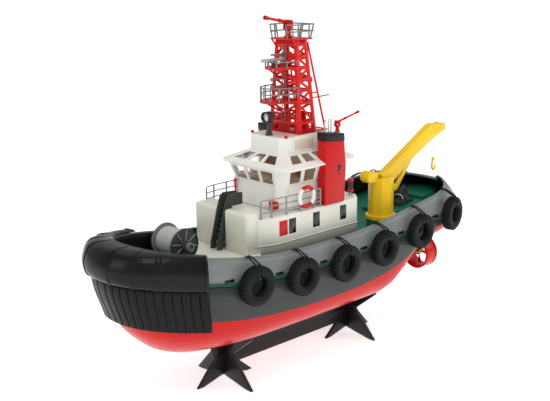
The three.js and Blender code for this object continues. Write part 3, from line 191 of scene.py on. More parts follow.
def wire_gloss(nodes, links, place, shader, low, high, scale):
    smear = nodes.new("ShaderNodeTexNoise")
    smear.inputs["Scale"].default_value = scale
    smear.inputs["Detail"].default_value = 5
    links.new(place, smear.inputs["Vector"])
    spread = nodes.new("ShaderNodeMapRange")
    spread.inputs["From Min"].default_value = 0.3
    spread.inputs["From Max"].default_value = 0.7
    spread.inputs["To Min"].default_value = low
    spread.inputs["To Max"].default_value = high
    links.new(smear.outputs["Fac"], spread.inputs["Value"])
    links.new(spread.outputs["Result"], shader.inputs["Roughness"])


def wire_bump(nodes, links, height, shader, depth):
    bump = nodes.new("ShaderNodeBump")
    bump.inputs["Strength"].default_value = 0.6
    bump.inputs["Distance"].default_value = depth
    links.new(height, bump.inputs["Height"])
    links.new(bump.outputs["Normal"], shader.inputs["Normal"])
    return bump


def moulded(
    name, colour, shade=0.9, rough=(0.3, 0.42), grain=900, depth=0.00006, coat=0.0, metal=0.0,
    drift=30,
):
    material, nodes, links = node_material(name)
    shader = nodes["Principled BSDF"]
    place = nodes.new("ShaderNodeTexCoord").outputs["Object"]
    darker = tuple(c * shade for c in colour)
    links.new(
        wire_colour(nodes, links, place, (darker, colour), drift), shader.inputs["Base Color"]
    )
    wire_gloss(nodes, links, place, shader, rough[0], rough[1], 45)
    skin = nodes.new("ShaderNodeTexNoise")
    skin.inputs["Scale"].default_value = grain
    skin.inputs["Detail"].default_value = 3
    links.new(place, skin.inputs["Vector"])
    wire_bump(nodes, links, skin.outputs["Fac"], shader, depth)
    shader.inputs["Coat Weight"].default_value = coat
    shader.inputs["Coat Roughness"].default_value = 0.12
    shader.inputs["Metallic"].default_value = metal
    shader.inputs["Specular IOR Level"].default_value = 0.25
    return material


def painted(piece, *materials):
    piece.data.materials.clear()
    for material in materials:
        piece.data.materials.append(material)
    return piece


white_sweep = moulded("white_sweep", (0.93, 0.93, 0.93), 0.99, (0.5, 0.6), 200, 0.00001)
painted(floor, white_sweep)
white_sweep.node_tree.nodes["Principled BSDF"].inputs["Emission Color"].default_value = (1, 1, 1, 1)
white_sweep.node_tree.nodes["Principled BSDF"].inputs["Emission Strength"].default_value = 0.62
cream = moulded("cream_plastic", (0.80, 0.79, 0.69), 0.96, (0.28, 0.4), 700, 0.00004, 0.15)
white = moulded("white_plastic", (0.86, 0.85, 0.79), 0.97, (0.25, 0.38), 700, 0.00004, 0.2)
red = moulded("red_plastic", (0.60, 0.004, 0.004), 0.88, (0.22, 0.34), 800, 0.00004, 0.04)
lattice_red = moulded("lattice_red", (0.72, 0.010, 0.008), 0.85, (0.25, 0.4), 600, 0.00005, 0.05)
yellow = moulded(
    "yellow_plastic", (1.0, 0.64, 0.012), 0.86, (0.25, 0.38), 700, 0.00004, 0.25, drift=14
)
dark_grey = moulded("dark_grey_plastic", (0.055, 0.062, 0.058), 0.8, (0.32, 0.5), 800, 0.00007)
rail_grey = moulded("rail_grey", (0.21, 0.225, 0.22), 0.85, (0.35, 0.5), 800, 0.00005)
black = moulded("black_plastic", (0.006, 0.006, 0.007), 0.7, (0.24, 0.4), 600, 0.00005, 0.1)
inner_black = moulded("inner_black", (0.010, 0.012, 0.012), 0.6, (0.35, 0.55), 500, 0.00008)
hull_grey = moulded("bulwark_grey", (0.215, 0.235, 0.225), 0.92, (0.3, 0.44), 700, 0.00005, 0.1)
trim_green = moulded("trim_green", (0.006, 0.105, 0.062), 0.85, (0.3, 0.45), 700, 0.00005)
steel = moulded("plated_steel", (0.62, 0.63, 0.65), 0.9, (0.16, 0.3), 1500, 0.00002, 0, 1.0)
brass = moulded("turned_brass", (0.60, 0.44, 0.16), 0.85, (0.2, 0.34), 1200, 0.00003, 0, 1.0)
print("finishes", len(bpy.data.materials))

# %% [markdown]
# The hull is moulded in one skin and sprayed in two colours: bright red up to a waterline that
# lifts towards bow and stern, and slate grey above it. The line is worked out in the shader from
# the surface's own position, so it stays crisp on the curve, with a faint overspray edge.

# %% Two-colour hull finish
def maths(nodes, links, operation, first, second=None, clamp=False):
    step = nodes.new("ShaderNodeMath")
    step.operation = operation
    step.use_clamp = clamp
    for socket, value in zip(step.inputs, (first, second)):
        if value is None:
            continue
        if isinstance(value, (int, float)):
            socket.default_value = value
        else:
            links.new(value, socket)
    return step.outputs["Value"]


waterline_low_x = 13.75 * mm
waterline_low_z = 101 * mm


def two_colour_hull():
    material, nodes, links = node_material("hull_paint")
    shader = nodes["Principled BSDF"]
    place = nodes.new("ShaderNodeTexCoord").outputs["Object"]
    split = nodes.new("ShaderNodeSeparateXYZ")
    links.new(place, split.inputs["Vector"])
    ahead = maths(nodes, links, "SUBTRACT", split.outputs["X"], waterline_low_x)
    fore = maths(nodes, links, "MAXIMUM", ahead, 0.0)
    fore_lift = maths(nodes, links, "MULTIPLY", maths(nodes, links, "POWER", fore, 2.0), 0.53)
    behind = maths(nodes, links, "MAXIMUM", maths(nodes, links, "MULTIPLY", ahead, -1.0), 0.0)
    share = maths(nodes, links, "DIVIDE", behind, 0.18)
    aft_lift = maths(nodes, links, "MULTIPLY", maths(nodes, links, "POWER", share, 2.6), 0.032)
    lift = maths(nodes, links, "ADD", fore_lift, aft_lift)
    above = maths(nodes, links, "SUBTRACT", split.outputs["Z"], lift)
    edge = nodes.new("ShaderNodeMapRange")
    edge.inputs["From Min"].default_value = waterline_low_z - 0.0002
    edge.inputs["From Max"].default_value = waterline_low_z + 0.0002
    links.new(above, edge.inputs["Value"])
    reds = wire_colour(nodes, links, place, ((0.54, 0.003, 0.003), (0.58, 0.005, 0.004)), 18)
    greys = wire_colour(nodes, links, place, ((0.040, 0.046, 0.045), (0.050, 0.056, 0.055)), 22)
    mix = nodes.new("ShaderNodeMix")
    mix.data_type = "RGBA"
    links.new(edge.outputs["Result"], mix.inputs["Factor"])
    links.new(reds, mix.inputs[6])
    links.new(greys, mix.inputs[7])
    links.new(mix.outputs[2], shader.inputs["Base Color"])
    wire_gloss(nodes, links, place, shader, 0.22, 0.36, 40)
    skin = nodes.new("ShaderNodeTexNoise")
    skin.inputs["Scale"].default_value = 500
    links.new(place, skin.inputs["Vector"])
    wire_bump(nodes, links, skin.outputs["Fac"], shader, 0.00002)
    shader.inputs["Specular IOR Level"].default_value = 0.18
    shader.inputs["Coat Weight"].default_value = 0.1
    shader.inputs["Coat Roughness"].default_value = 0.15
    return material


hull_paint = two_colour_hull()
print("hull paint made")

# %% [markdown]
# The hull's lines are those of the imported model: in plan a superellipse at bow and stern joined by
# straight sides, cut back more and more towards the keel. They are written once as a function of
# how far each level is cut back, then every long piece (hull, deck, bulwark, fenders) is taken from
# it.

# %% The hull's lines
hull_low, hull_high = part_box("hull_shell")
bow_x = hull_high[0]
stern_x = hull_low[0]
beam_half = hull_high[1]
bow_reach = 138 * mm
stern_reach = 114 * mm
low_x = 21.75 * mm
low_z = 145 * mm
bow_rise = 27 * mm
stern_rise = 32 * mm
run_start = -101.25 * mm
run_end = -186.25 * mm
counter_z = 126 * mm
deck_thick = 2.7 * mm
roundness = 2.35


def eased(t):
    t = min(1.0, max(0.0, t))
    return t * t * (3 - 2 * t)


def keel_z(x):
    t = eased((run_start - x) / (run_start - run_end))
    return hull_low[2] + (counter_z - hull_low[2]) * t


def edge_z(x):
    rise, reach = (bow_rise, bow_x - low_x) if x > low_x else (stern_rise, low_x - stern_x)
    return low_z + rise * ((x - low_x) / reach) ** 2


def top_z(x):
    return edge_z(x) + 27 * mm + 4 * mm * eased((abs(x - low_x) - 60 * mm) / (120 * mm))


def plan(
    bow=0.0, stern=0.0, side=0.0, short=0.0, grow=0.0, bow_steps=26, side_steps=18, stern_steps=22
):
    """Port half of the plan outline, from the stem to the middle of the stern, as (x, y)."""
    half = beam_half - side + grow
    tip, tail = bow_x - bow + grow, stern_x + stern - grow
    shoulder = bow_x - bow - bow_reach + short
    hip = stern_x + stern_reach
    out = []
    for i in range(bow_steps + 1):
        a = i / bow_steps * math.pi / 2
        out.append(
            (
                shoulder + (tip - shoulder) * max(0, math.cos(a)) ** (2 / roundness),
                half * math.sin(a) ** (2 / roundness),
            )
        )
    for i in range(1, side_steps):
        out.append((shoulder + (hip - shoulder) * i / side_steps, half))
    for i in range(stern_steps, -1, -1):
        a = i / stern_steps * math.pi / 2
        out.append(
            (
                hip + (tail - hip) * max(0, math.cos(a)) ** (2 / roundness),
                half * math.sin(a) ** (2 / roundness),
            )
        )
    return out


def ring(height, flat=1.0, **cuts):
    port = plan(**cuts)
    around = port + [(x, -y) for x, y in reversed(port[1:-1])]
    return [Vector((x, y * flat, height(x))) for x, y in around]


def half_breadth(x, **cuts):
    line = plan(**cuts)
    for (x0, y0), (x1, y1) in zip(line, line[1:]):
        if x1 <= x <= x0 and x0 > x1:
            return y1 + (y0 - y1) * (x - x1) / (x0 - x1)
    return 0.0


print("half breadth amidships", half_breadth(0) / mm, "mm")

# %% [markdown]
# A skin is made by laying each ring down as a closed loop of edges and bridging it to the next,
# which keeps the mesh all quads so that it shades smoothly. The same few helpers turn a bmesh into
# a named piece, ride it on its body and hide the CAD nodes it stands for.

# %% Skin and piece helpers
def loop_of(bm, points, closed=True):
    verts = [bm.verts.new(p) for p in points]
    pairs = list(zip(verts, verts[1:])) + ([(verts[-1], verts[0])] if closed else [])
    return [bm.edges.new(pair) for pair in pairs]


def bridged(rings, closed=True, cap=False, around=False):
    bm = bmesh.new()
    loops = [loop_of(bm, r, closed) for r in rings]
    pairs = list(zip(loops, loops[1:])) + ([(loops[-1], loops[0])] if around else [])
    for first, second in pairs:
        bmesh.ops.bridge_loops(bm, edges=first + second)
    if cap:
        bmesh.ops.contextual_create(bm, geom=loops[0])
        bmesh.ops.contextual_create(bm, geom=loops[-1])
    bmesh.ops.remove_doubles(bm, verts=bm.verts, dist=1e-6)
    bmesh.ops.dissolve_degenerate(bm, dist=1e-7, edges=bm.edges)
    bmesh.ops.recalc_face_normals(bm, faces=bm.faces)
    return bm


def side_name(sign):
    return "port" if sign > 0 else "starboard"


def finished(bm, name, body, material, nodes=(), smooth=40):
    """The bmesh becomes a named piece; body None leaves it on no body; smooth is an angle."""
    data = bpy.data.meshes.new(name)
    if smooth:
        for face in bm.faces:
            face.smooth = True
        limit = math.radians(smooth)
        for edge in bm.edges:
            if len(edge.link_faces) == 2:
                edge.smooth = edge.calc_face_angle(0) < limit
    bm.to_mesh(data)
    bm.free()
    piece = bpy.data.objects.new(name, data)
    bpy.context.scene.collection.objects.link(piece)
    materials = material if isinstance(material, (list, tuple)) else [material]
    painted(piece, *materials)
    if body:
        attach(piece, body)
    if nodes:
        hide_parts(*nodes)
    return piece


def modified(piece, kind, **settings):
    m = piece.modifiers.new(kind.lower(), kind)
    for key, value in settings.items():
        setattr(m, key, value)
    return piece


def softened(piece, width, segments=2, angle=35):
    return modified(
        piece, "BEVEL", width=width, segments=segments, limit_method="ANGLE",
        angle_limit=math.radians(angle), harden_normals=False,
    )


def refined(bm, width, segments=2, angle=30):
    """Bevels every edge sharper than angle, as a moulding's edges are."""
    limit = math.radians(angle)
    sharp = [e for e in bm.edges if len(e.link_faces) == 2 and e.calc_face_angle(0) > limit]
    if sharp:
        bmesh.ops.bevel(
            bm, geom=sharp, offset=width, offset_type="OFFSET", segments=segments, profile=0.5,
            affect="EDGES", material=-1, clamp_overlap=True,
        )
    return bm


print("helpers ready")

# %% [markdown]
# The hull itself: seven rings from deck edge to the flat of the bottom, then one more ring squeezed
# onto the centreline to close it. Solidify gives the moulding its 2 mm wall, seen when the
# upperworks are lifted off. The skeg that guards the propellers is a bevelled fin of its own.

# %% Hull and skeg
levels = [
    (1.0, dict()),
    (0.86, dict(bow=0.4 * mm)),
    (0.72, dict(bow=1 * mm)),
    (0.58, dict(bow=2.6 * mm, stern=1 * mm, side=1 * mm)),
    (0.47, dict(bow=6 * mm, stern=2 * mm, side=2.5 * mm)),
    (0.38, dict(bow=12 * mm, stern=3.8 * mm, side=5.2 * mm, short=0 * mm)),
    (0.3, dict(bow=20 * mm, stern=6 * mm, side=9.5 * mm, short=0 * mm)),
    (0.24, dict(bow=27 * mm, stern=9 * mm, side=15 * mm, short=0.8 * mm)),
    (0.18, dict(bow=35 * mm, stern=13 * mm, side=22 * mm, short=2 * mm)),
    (0.14, dict(bow=43 * mm, stern=18 * mm, side=28.5 * mm, short=4.5 * mm)),
    (0.1, dict(bow=52 * mm, stern=24 * mm, side=36 * mm, short=8 * mm)),
    (0.05, dict(bow=63.5 * mm, stern=33.5 * mm, side=46.5 * mm, short=12.5 * mm)),
    (0.0, dict(bow=76 * mm, stern=44 * mm, side=58 * mm, short=18 * mm)),
]


def hull_height(t):
    return lambda x: keel_z(x) + (edge_z(x) - keel_z(x)) * t


hull_rings = [ring(hull_height(t), **cuts) for t, cuts in levels]
hull_rings.append(ring(hull_height(0.0), flat=0.5, **levels[-1][1]))
hull_rings.append(ring(hull_height(0.0), flat=0.0, **levels[-1][1]))
hull = finished(
    bridged(hull_rings), "hull", "boat", hull_paint, ["hull_shell"], smooth=60
)
modified(hull, "SOLIDIFY", thickness=2.2 * mm, offset=-1)


def prism(outline, axis, low, high):
    """A closed plate from a flat outline; axis is the way that it is thick."""
    bm = bmesh.new()
    places = {
        "x": lambda u, v: (low, u, v), "y": lambda u, v: (u, low, v), "z": lambda u, v: (u, v, low)
    }
    verts = [bm.verts.new(places[axis](u, v)) for u, v in outline]
    face = bm.faces.new(verts)
    made = bmesh.ops.extrude_face_region(bm, geom=[face])
    step = {"x": (high - low, 0, 0), "y": (0, high - low, 0), "z": (0, 0, high - low)}[axis]
    bmesh.ops.translate(
        bm, vec=step, verts=[g for g in made["geom"] if isinstance(g, bmesh.types.BMVert)]
    )
    bmesh.ops.recalc_face_normals(bm, faces=bm.faces)
    return bm


prop_x = joint_at["port_shaft_spin"].x
skeg_start = run_start - 14 * mm
skeg_line = [
    (skeg_start, keel_z(skeg_start) + 1 * mm),
    (skeg_start, hull_low[2] + 0.6 * mm),
    (prop_x - 18 * mm, hull_low[2] + 8 * mm),
    (prop_x - 26 * mm, counter_z + 1 * mm),
    (run_end, counter_z + 1 * mm),
    (
        run_start + (run_end - run_start) * 0.6,
        keel_z(run_start + (run_end - run_start) * 0.6) + 1 * mm,
    ),
]
finished(
    refined(prism(skeg_line, "y", -3.2 * mm, 3.2 * mm), 1.2 * mm, 3), "skeg", "boat", hull_paint,
)
print("hull faces", len(hull.data.polygons))

# %% [markdown]
# The deck is a green plate that follows the sheer and stands out past the hull as a moulded rubbing
# strake, so its rounded edge is the green stripe along the side. A swept strip of the same profile
# makes the strake; the plate inside it has the hatch that the upperworks cover.

# %% Deck plate and green strake
deck_green = moulded("deck_green", (0.012, 0.17, 0.105), 0.8, (0.35, 0.55), 420, 0.00012)


def band(profile, bow_steps=40, **cuts):
    """A closed bar round the whole hull; profile is a list of (out, up from the deck's edge)."""
    rings = []
    for out, up in profile:
        rings.append(ring(lambda x, up=up: edge_z(x) + up, grow=out, bow_steps=bow_steps, **cuts))
    return bridged(rings, around=True)


strake_profile = [
    (-1.5 * mm, 0.3 * mm), (0.6 * mm, 0.3 * mm), (1.5 * mm, 0.9 * mm), (1.7 * mm, 1.6 * mm),
    (1.5 * mm, 2.3 * mm), (0.6 * mm, 2.8 * mm), (-1.5 * mm, 2.8 * mm),
]
finished(band(strake_profile), "deck_strake", "boat", trim_green, smooth=60)

hatch_aft, hatch_fore, hatch_half = -66.25 * mm, 97.75 * mm, 45 * mm


def deck_plate():
    rim = [Vector((x, y, 0)) for x, y in plan(grow=0)]
    rim += [Vector((x, -y, 0)) for x, y in reversed(plan(grow=0)[1:-1])]
    bm = bmesh.new()
    loop_of(bm, rim)
    bmesh.ops.contextual_create(bm, geom=bm.edges[:])
    for x in [stern_x + i * 12 * mm for i in range(1, 46)] + [hatch_aft, hatch_fore]:
        bmesh.ops.bisect_plane(
            bm, geom=bm.verts[:] + bm.edges[:] + bm.faces[:], plane_co=(x, 0, 0), plane_no=(1, 0, 0)
        )
    for y in (hatch_half, -hatch_half, 0):
        bmesh.ops.bisect_plane(
            bm, geom=bm.verts[:] + bm.edges[:] + bm.faces[:], plane_co=(0, y, 0), plane_no=(0, 1, 0)
        )
    inside = [
        f
        for f in bm.faces if hatch_aft < f.calc_center_median().x < hatch_fore and abs(
            f.calc_center_median().y
        ) < hatch_half
    ]
    bmesh.ops.delete(bm, geom=inside, context="FACES")
    for v in bm.verts:
        v.co.z = edge_z(v.co.x) + deck_thick
    bmesh.ops.recalc_face_normals(bm, faces=bm.faces)
    if sum(f.normal.z for f in bm.faces) < 0:
        bmesh.ops.reverse_faces(bm, faces=bm.faces)
    return bm


deck = finished(deck_plate(), "deck_plate", "boat", deck_green, ["deck"], smooth=60)
modified(deck, "SOLIDIFY", thickness=2.0 * mm, offset=-1)
print("deck faces", len(deck.data.polygons))

# %% [markdown]
# The bulwark is a thin grey wall that leans in, most of all at the stern, where it drops to a gap
# for the tow line. It is skinned from the deck up, cut down at the gap, and thickened inwards with
# a second finish, because the inside is black. A rolled black capping runs along its top.

# %% Bulwark wall
foot_cuts = dict()
top_cuts = dict(bow=6 * mm, stern=24 * mm, side=6 * mm, short=6 * mm)
notch_half = 29 * mm
notch_drop = 7 * mm
stern_top = top_z(stern_x + 24 * mm)


def lerped(a, b, t):
    keys = set(a) | set(b)
    return {k: a.get(k, 0) + (b.get(k, 0) - a.get(k, 0)) * t for k in keys}


def wall_ring(t, grow=0.0, low=0.0, high=0.0):
    bend = t ** 1.35
    return ring(
        lambda x: (edge_z(x) + deck_thick + low) * (1 - t) + (top_z(x) + high) * t, grow=grow,
        **lerped(foot_cuts, top_cuts, bend)
    )


def notched(bm):
    """Lowers the wall's top to the towing gap, with short slopes beside it."""
    for y in (notch_half, -notch_half, notch_half + 2.5 * mm, -notch_half - 2.5 * mm):
        near = [f for f in bm.faces if f.calc_center_median().x < stern_x + 60 * mm]
        geom = {v for f in near for v in f.verts} | {e for f in near for e in f.edges} | set(near)
        bmesh.ops.bisect_plane(
            bm, geom=list(geom), plane_co=(0, y, 0), plane_no=(0, 1, 0), dist=1e-6
        )
    for v in bm.verts:
        if v.co.x < stern_x + 60 * mm and abs(v.co.y) < notch_half + 1e-5:
            v.co.z = min(v.co.z, stern_top - notch_drop)
    return bm


wall = bridged([wall_ring(t) for t in (0.0, 0.25, 0.5, 0.75, 1.0)])
bulwark = finished(
    notched(wall), "bulwark_wall", "boat", [hull_grey, inner_black], ["bulwark"],
    smooth=60,
)
modified(
    bulwark, "SOLIDIFY", thickness=2.2 * mm, offset=-1, material_offset=1, material_offset_rim=0
)
print("bulwark faces", len(bulwark.data.polygons))

# %% [markdown]
# Details that make a bulwark read as one: a rolled rail along its top, triangular stays inside it,
# and scuppers just above the deck that let water out, drawn as thin black plates on the wall whose
# black is painted shade of the openings. Each is one small bmesh, copied to its places along the
# sheer and turned to the wall's own direction, then joined into one piece.

# %% Bulwark rail, stays and scuppers
def joined_mesh(parts):
    """Several bmeshes in one."""
    whole = bmesh.new()
    for part in parts:
        data = bpy.data.meshes.new("part")
        part.to_mesh(data)
        part.free()
        whole.from_mesh(data)
        bpy.data.meshes.remove(data)
    return whole


def block(x0, x1, y0, y1, z0, z1, bevel=0.0, segments=2):
    bm = bmesh.new()
    bmesh.ops.create_cube(bm, size=1)
    bmesh.ops.scale(bm, vec=(x1 - x0, y1 - y0, z1 - z0), verts=bm.verts)
    bmesh.ops.translate(bm, vec=((x0 + x1) / 2, (y0 + y1) / 2, (z0 + z1) / 2), verts=bm.verts)
    if bevel:
        bmesh.ops.bevel(
            bm, geom=bm.edges[:], offset=bevel, offset_type="OFFSET", segments=segments,
            profile=0.5, affect="EDGES", material=-1, clamp_overlap=True,
        )
    return bm


def tube_between(a, b, radius, sides=10, radius_end=None):
    a, b = Vector(a), Vector(b)
    bm = bmesh.new()
    bmesh.ops.create_cone(
        bm, cap_ends=True, segments=sides, radius1=radius,
        radius2=radius if radius_end is None else radius_end, depth=(b - a).length,
    )
    turn = (b - a).to_track_quat("Z", "Y").to_matrix().to_4x4()
    bmesh.ops.transform(bm, matrix=Matrix.Translation((a + b) / 2) @ turn, verts=bm.verts)
    return bm


def ball(centre, radius, sides=12):
    bm = bmesh.new()
    bmesh.ops.create_uvsphere(bm, u_segments=sides, v_segments=max(6, sides // 2), radius=radius)
    bmesh.ops.translate(bm, vec=centre, verts=bm.verts)
    return bm


def bent_tube(points, radius, sides=8, closed=False):
    """A round bar along a line of points, made by bridging turned circles."""
    rings = []
    n = len(points)
    pts = [Vector(p) for p in points]
    side = None
    for i, p in enumerate(pts):
        before = pts[(i - 1) % n] if closed or i > 0 else p
        after = pts[(i + 1) % n] if closed or i < n - 1 else p
        way = (after - before).normalized()
        if side is None:
            side = way.orthogonal().normalized()
        side = (side - way * side.dot(way)).normalized()
        over = way.cross(side)
        rings.append(
            [
                p + radius * (
                    side * math.cos(2 * math.pi * k / sides)
                    + over * math.sin(2 * math.pi * k / sides)
                )
                for k in range(sides)
            ]
        )
    return bridged(rings, cap=not closed, around=closed)


def turned(profile, axis, centre, steps=40):
    """Spins a profile of (radius, along) about an axis through centre."""
    bm = bmesh.new()
    to = {
        "x": lambda r, h: (h, r, 0), "y": lambda r, h: (r, h, 0), "z": lambda r, h: (r, 0, h)
    }[axis]
    way = {"x": (1, 0, 0), "y": (0, 1, 0), "z": (0, 0, 1)}[axis]
    verts = [bm.verts.new(to(r, h)) for r, h in profile]
    edges = [bm.edges.new(pair) for pair in zip(verts, verts[1:])]
    bmesh.ops.spin(
        bm, geom=verts + edges, cent=(0, 0, 0), axis=way, angle=2 * math.pi, steps=steps,
        use_merge=True,
    )
    bmesh.ops.remove_doubles(bm, verts=bm.verts, dist=1e-7)
    bmesh.ops.recalc_face_normals(bm, faces=bm.faces)
    bmesh.ops.translate(bm, vec=centre, verts=bm.verts)
    return bm


def rail_line(step=1):
    pts = ring(lambda x: top_z(x), grow=-1.1 * mm, **top_cuts)
    return [
        p if not (
            p.x < stern_x + 60 * mm and abs(p.y) < notch_half + 1e-4
        ) else Vector((p.x, p.y, stern_top - notch_drop))
        for p in pts
    ][::step]


finished(
    bent_tube(rail_line(), 1.25 * mm, 8, closed=True), "bulwark_rim", "boat", hull_grey,
)


def wall_frame(x, side, level=0.5):
    """Where the wall is at a station, and the direction along it."""
    cuts = lerped(foot_cuts, top_cuts, level ** 1.35)
    y = half_breadth(x, **cuts)
    dy = half_breadth(x + 2 * mm, **cuts) - half_breadth(x - 2 * mm, **cuts)
    along = Vector((4 * mm, side * dy, 0)).normalized()
    return Vector((x, side * y, 0)), along


def stay(x, side):
    low, along = wall_frame(x, side, 0.02)
    high, _ = wall_frame(x, side, 0.97)
    inward = Vector((along.y, -along.x, 0)) * (1 if side > 0 else -1)
    z0 = edge_z(x) + deck_thick + 0.2 * mm
    z1 = top_z(x) - 1.5 * mm
    skin = 2.4 * mm
    corners = [
        low + inward * skin, low + inward * (skin + 6 * mm), high + inward * (skin + 1.2 * mm),
        high + inward * skin,
    ]
    heights = [z0, z0, z1, z1]
    bm = bmesh.new()
    verts = [
        bm.verts.new(c + Vector((0, 0, z)) - along * 0.5 * mm) for c, z in zip(corners, heights)
    ]
    face = bm.faces.new(verts)
    made = bmesh.ops.extrude_face_region(bm, geom=[face])
    bmesh.ops.translate(
        bm, vec=along * 1.0 * mm,
        verts=[g for g in made["geom"] if isinstance(g, bmesh.types.BMVert)],
    )
    bmesh.ops.recalc_face_normals(bm, faces=bm.faces)
    return bm


stay_stations = [stern_x + (34 + 26.5 * i) * mm for i in range(18)]
stays = [stay(x, side) for x in stay_stations for side in (1, -1) if x < 170 * mm]
finished(joined_mesh(stays), "bulwark_stays", "boat", inner_black, smooth=0)


# Each scupper is drawn as a thin black plate a hair proud of the wall; its black is painted shade of
# the opening.
def scupper(x, side):
    here, along = wall_frame(x, side, 0.05)
    outward = Vector((-along.y, along.x, 0)) * (1 if side > 0 else -1)
    bm = block(-6 * mm, 6 * mm, -0.5 * mm, 0.5 * mm, -1.7 * mm, 1.7 * mm, 0.45 * mm)
    turn = Matrix((along, outward, Vector((0, 0, 1)))).transposed().to_4x4()
    bmesh.ops.transform(
        bm,
        matrix=Matrix.Translation(
            here + outward * 0.1 * mm + Vector((0, 0, edge_z(x) + deck_thick + 3.0 * mm))
        ) @ turn,
        verts=bm.verts,
    )
    return bm


scupper_stations = [170 * mm - i * 35.9 * mm for i in range(12)]
scupper_shade_plates = [scupper(x, side) for x in scupper_stations for side in (1, -1)]
finished(joined_mesh(scupper_shade_plates), "scupper_shade_plates", "boat", black)
print("stays", len(stays), "scupper_shade_plates", len(scupper_shade_plates))

# %% [markdown]
# The bow wears two rubber fenders. The upper is a fat D-section roll, glossy where it has been
# rubbed and lightly wrinkled like a soft moulding, strapped down by pairs of bands. Under it a
# skirt of separate upright ribs fills the flare. Rubber is nearly black, so its shape is carried
# only by the highlights: bump on two scales does that.

# %% Rubber finishes
def rubber(name, colour, rough, wrinkle_scale, wrinkle, grain, coat=0.0):
    material, nodes, links = node_material(name)
    shader = nodes["Principled BSDF"]
    place = nodes.new("ShaderNodeTexCoord").outputs["Object"]
    lighter = tuple(c * 1.7 for c in colour)
    links.new(wire_colour(nodes, links, place, (colour, lighter), 35), shader.inputs["Base Color"])
    wire_gloss(nodes, links, place, shader, rough[0], rough[1], 28)
    fold = nodes.new("ShaderNodeTexNoise")
    fold.inputs["Scale"].default_value = wrinkle_scale
    fold.inputs["Detail"].default_value = 2
    links.new(place, fold.inputs["Vector"])
    first = wire_bump(nodes, links, fold.outputs["Fac"], shader, wrinkle)
    fine = nodes.new("ShaderNodeTexNoise")
    fine.inputs["Scale"].default_value = 900
    links.new(place, fine.inputs["Vector"])
    second = wire_bump(nodes, links, fine.outputs["Fac"], shader, grain)
    links.new(first.outputs["Normal"], second.inputs["Normal"])
    shader.inputs["Specular IOR Level"].default_value = 0.14
    shader.inputs["Coat Weight"].default_value = coat
    shader.inputs["Coat Roughness"].default_value = 0.2
    return material


fender_rubber = rubber(
    "fender_rubber", (0.004, 0.004, 0.005), (0.16, 0.36), 70, 0.0012, 0.00005, 0.12
)
skirt_rubber = rubber(
    "skirt_rubber", (0.004, 0.004, 0.005), (0.26, 0.46), 60, 0.0005, 0.00006, 0.05
)
tyre_rubber = rubber("tyre_rubber", (0.006, 0.007, 0.007), (0.45, 0.65), 200, 0.0002, 0.00012)
print("rubbers made")

# %% Upper bow fender
fender_end = math.acos(((bow_reach - 66 * mm) / bow_reach) ** (roundness / 2))


def bow_point(angle, out=0.0, bow=0.0, side=0.0, short=0.0):
    shoulder = bow_x - bow - bow_reach + short
    half = beam_half - side + out
    a = abs(angle)
    x = shoulder + (bow_x - bow + out - shoulder) * math.cos(a) ** (2 / roundness)
    y = half * math.sin(a) ** (2 / roundness)
    return x, math.copysign(y, angle)


def upper_section(angle, swell=0.0):
    """The roll's D section at one angle round the bow; swell lifts it for a strap."""
    x, _ = bow_point(angle)
    low = edge_z(x) - 3 * mm
    rim = top_z(x)
    top = rim + 4.5 * mm
    share = eased(abs(angle) / fender_end)
    bulge = 30 * mm + (9 * mm - 30 * mm) * share + swell
    inner = 2.1 * mm
    rows = [(inner, 0, low + 0.2 * mm)]
    steps = 16
    for i in range(steps + 1):
        a = -math.pi / 2 + math.pi * i / steps
        mid, half = (low + top) / 2, (top - low) / 2
        across = math.copysign(abs(math.cos(a)) ** 0.62, math.cos(a))
        up = math.copysign(abs(math.sin(a)) ** 0.78, math.sin(a))
        base = inner + 0.42 * (bulge - inner)
        lean = 6 * mm * max(0.0, up) * 0.8
        rows.append((base + (bulge - base) * across - lean, 0, mid + (half + swell) * up))
    rows += [
        (-6 * mm, 0, top - 0.2 * mm), (-9.5 * mm, 0, top - 2.4 * mm),
        (-9.5 * mm, 0, rim + 1.6 * mm), (-6 * mm, 0, rim + 0.6 * mm),
        (inner - 5 * mm, 0, rim + 0.6 * mm), (inner, 0, low + 7 * mm),
    ]
    return [Vector((*bow_point(angle, out), z)) for out, _, z in rows]


fender_steps = 72
angles = [-fender_end + 2 * fender_end * i / fender_steps for i in range(fender_steps + 1)]
roll = bridged([upper_section(a) for a in angles], cap=True)
upper = finished(
    refined(roll, 1.2 * mm, 3, 50), "bow_fender_roll", "boat", fender_rubber, ["bow_fender_upper"],
    smooth=70,
)


def strap(angle, width=0.021, swell=0.7 * mm):
    rings = [
        upper_section(angle + d * width, s)[1:20]
        for d, s in ((-1, -0.1 * mm), (-0.8, swell), (0.8, swell), (1, -0.1 * mm))
    ]
    return bridged(rings, closed=False)


strap_angles = [s * fender_end for a in (0.985, 0.60, 0.56, 0.36, 0.14) for s in (a, -a)]
straps = joined_mesh(
    [strap(a, 0.010 if abs(a) < 0.5 * fender_end else 0.013) for a in strap_angles]
)
finished(straps, "fender_straps", "boat", fender_rubber, smooth=60)
print("fender faces", len(upper.data.polygons))

# %% Lower fender ribs
def lower_section(angle, out_by=0.0):
    x, _ = bow_point(angle)
    top = edge_z(x) - 3.7 * mm
    low = top - 50 * mm
    share = eased(abs(angle) / fender_end)
    bulge = 20 * mm + (4 * mm - 20 * mm) * share + out_by
    steps = 6
    rows = []
    for i in range(steps + 1):
        t = i / steps
        cut = eased(t) ** 1.2
        rows.append((0.6 * mm + 3 * mm * math.sin(math.pi * t), cut, top + (low - top) * t))
    for i in range(steps, -1, -1):
        t = i / steps
        cut = eased(t) ** 1.2
        rows.append((bulge * (1 - 0.42 * t ** 1.6) + 0.5 * mm, cut, top + (low - top) * t))
    return [
        Vector((*bow_point(angle, out, bow=5 * mm * cut, side=2 * mm * cut), z))
        for out, cut, z in rows
    ]


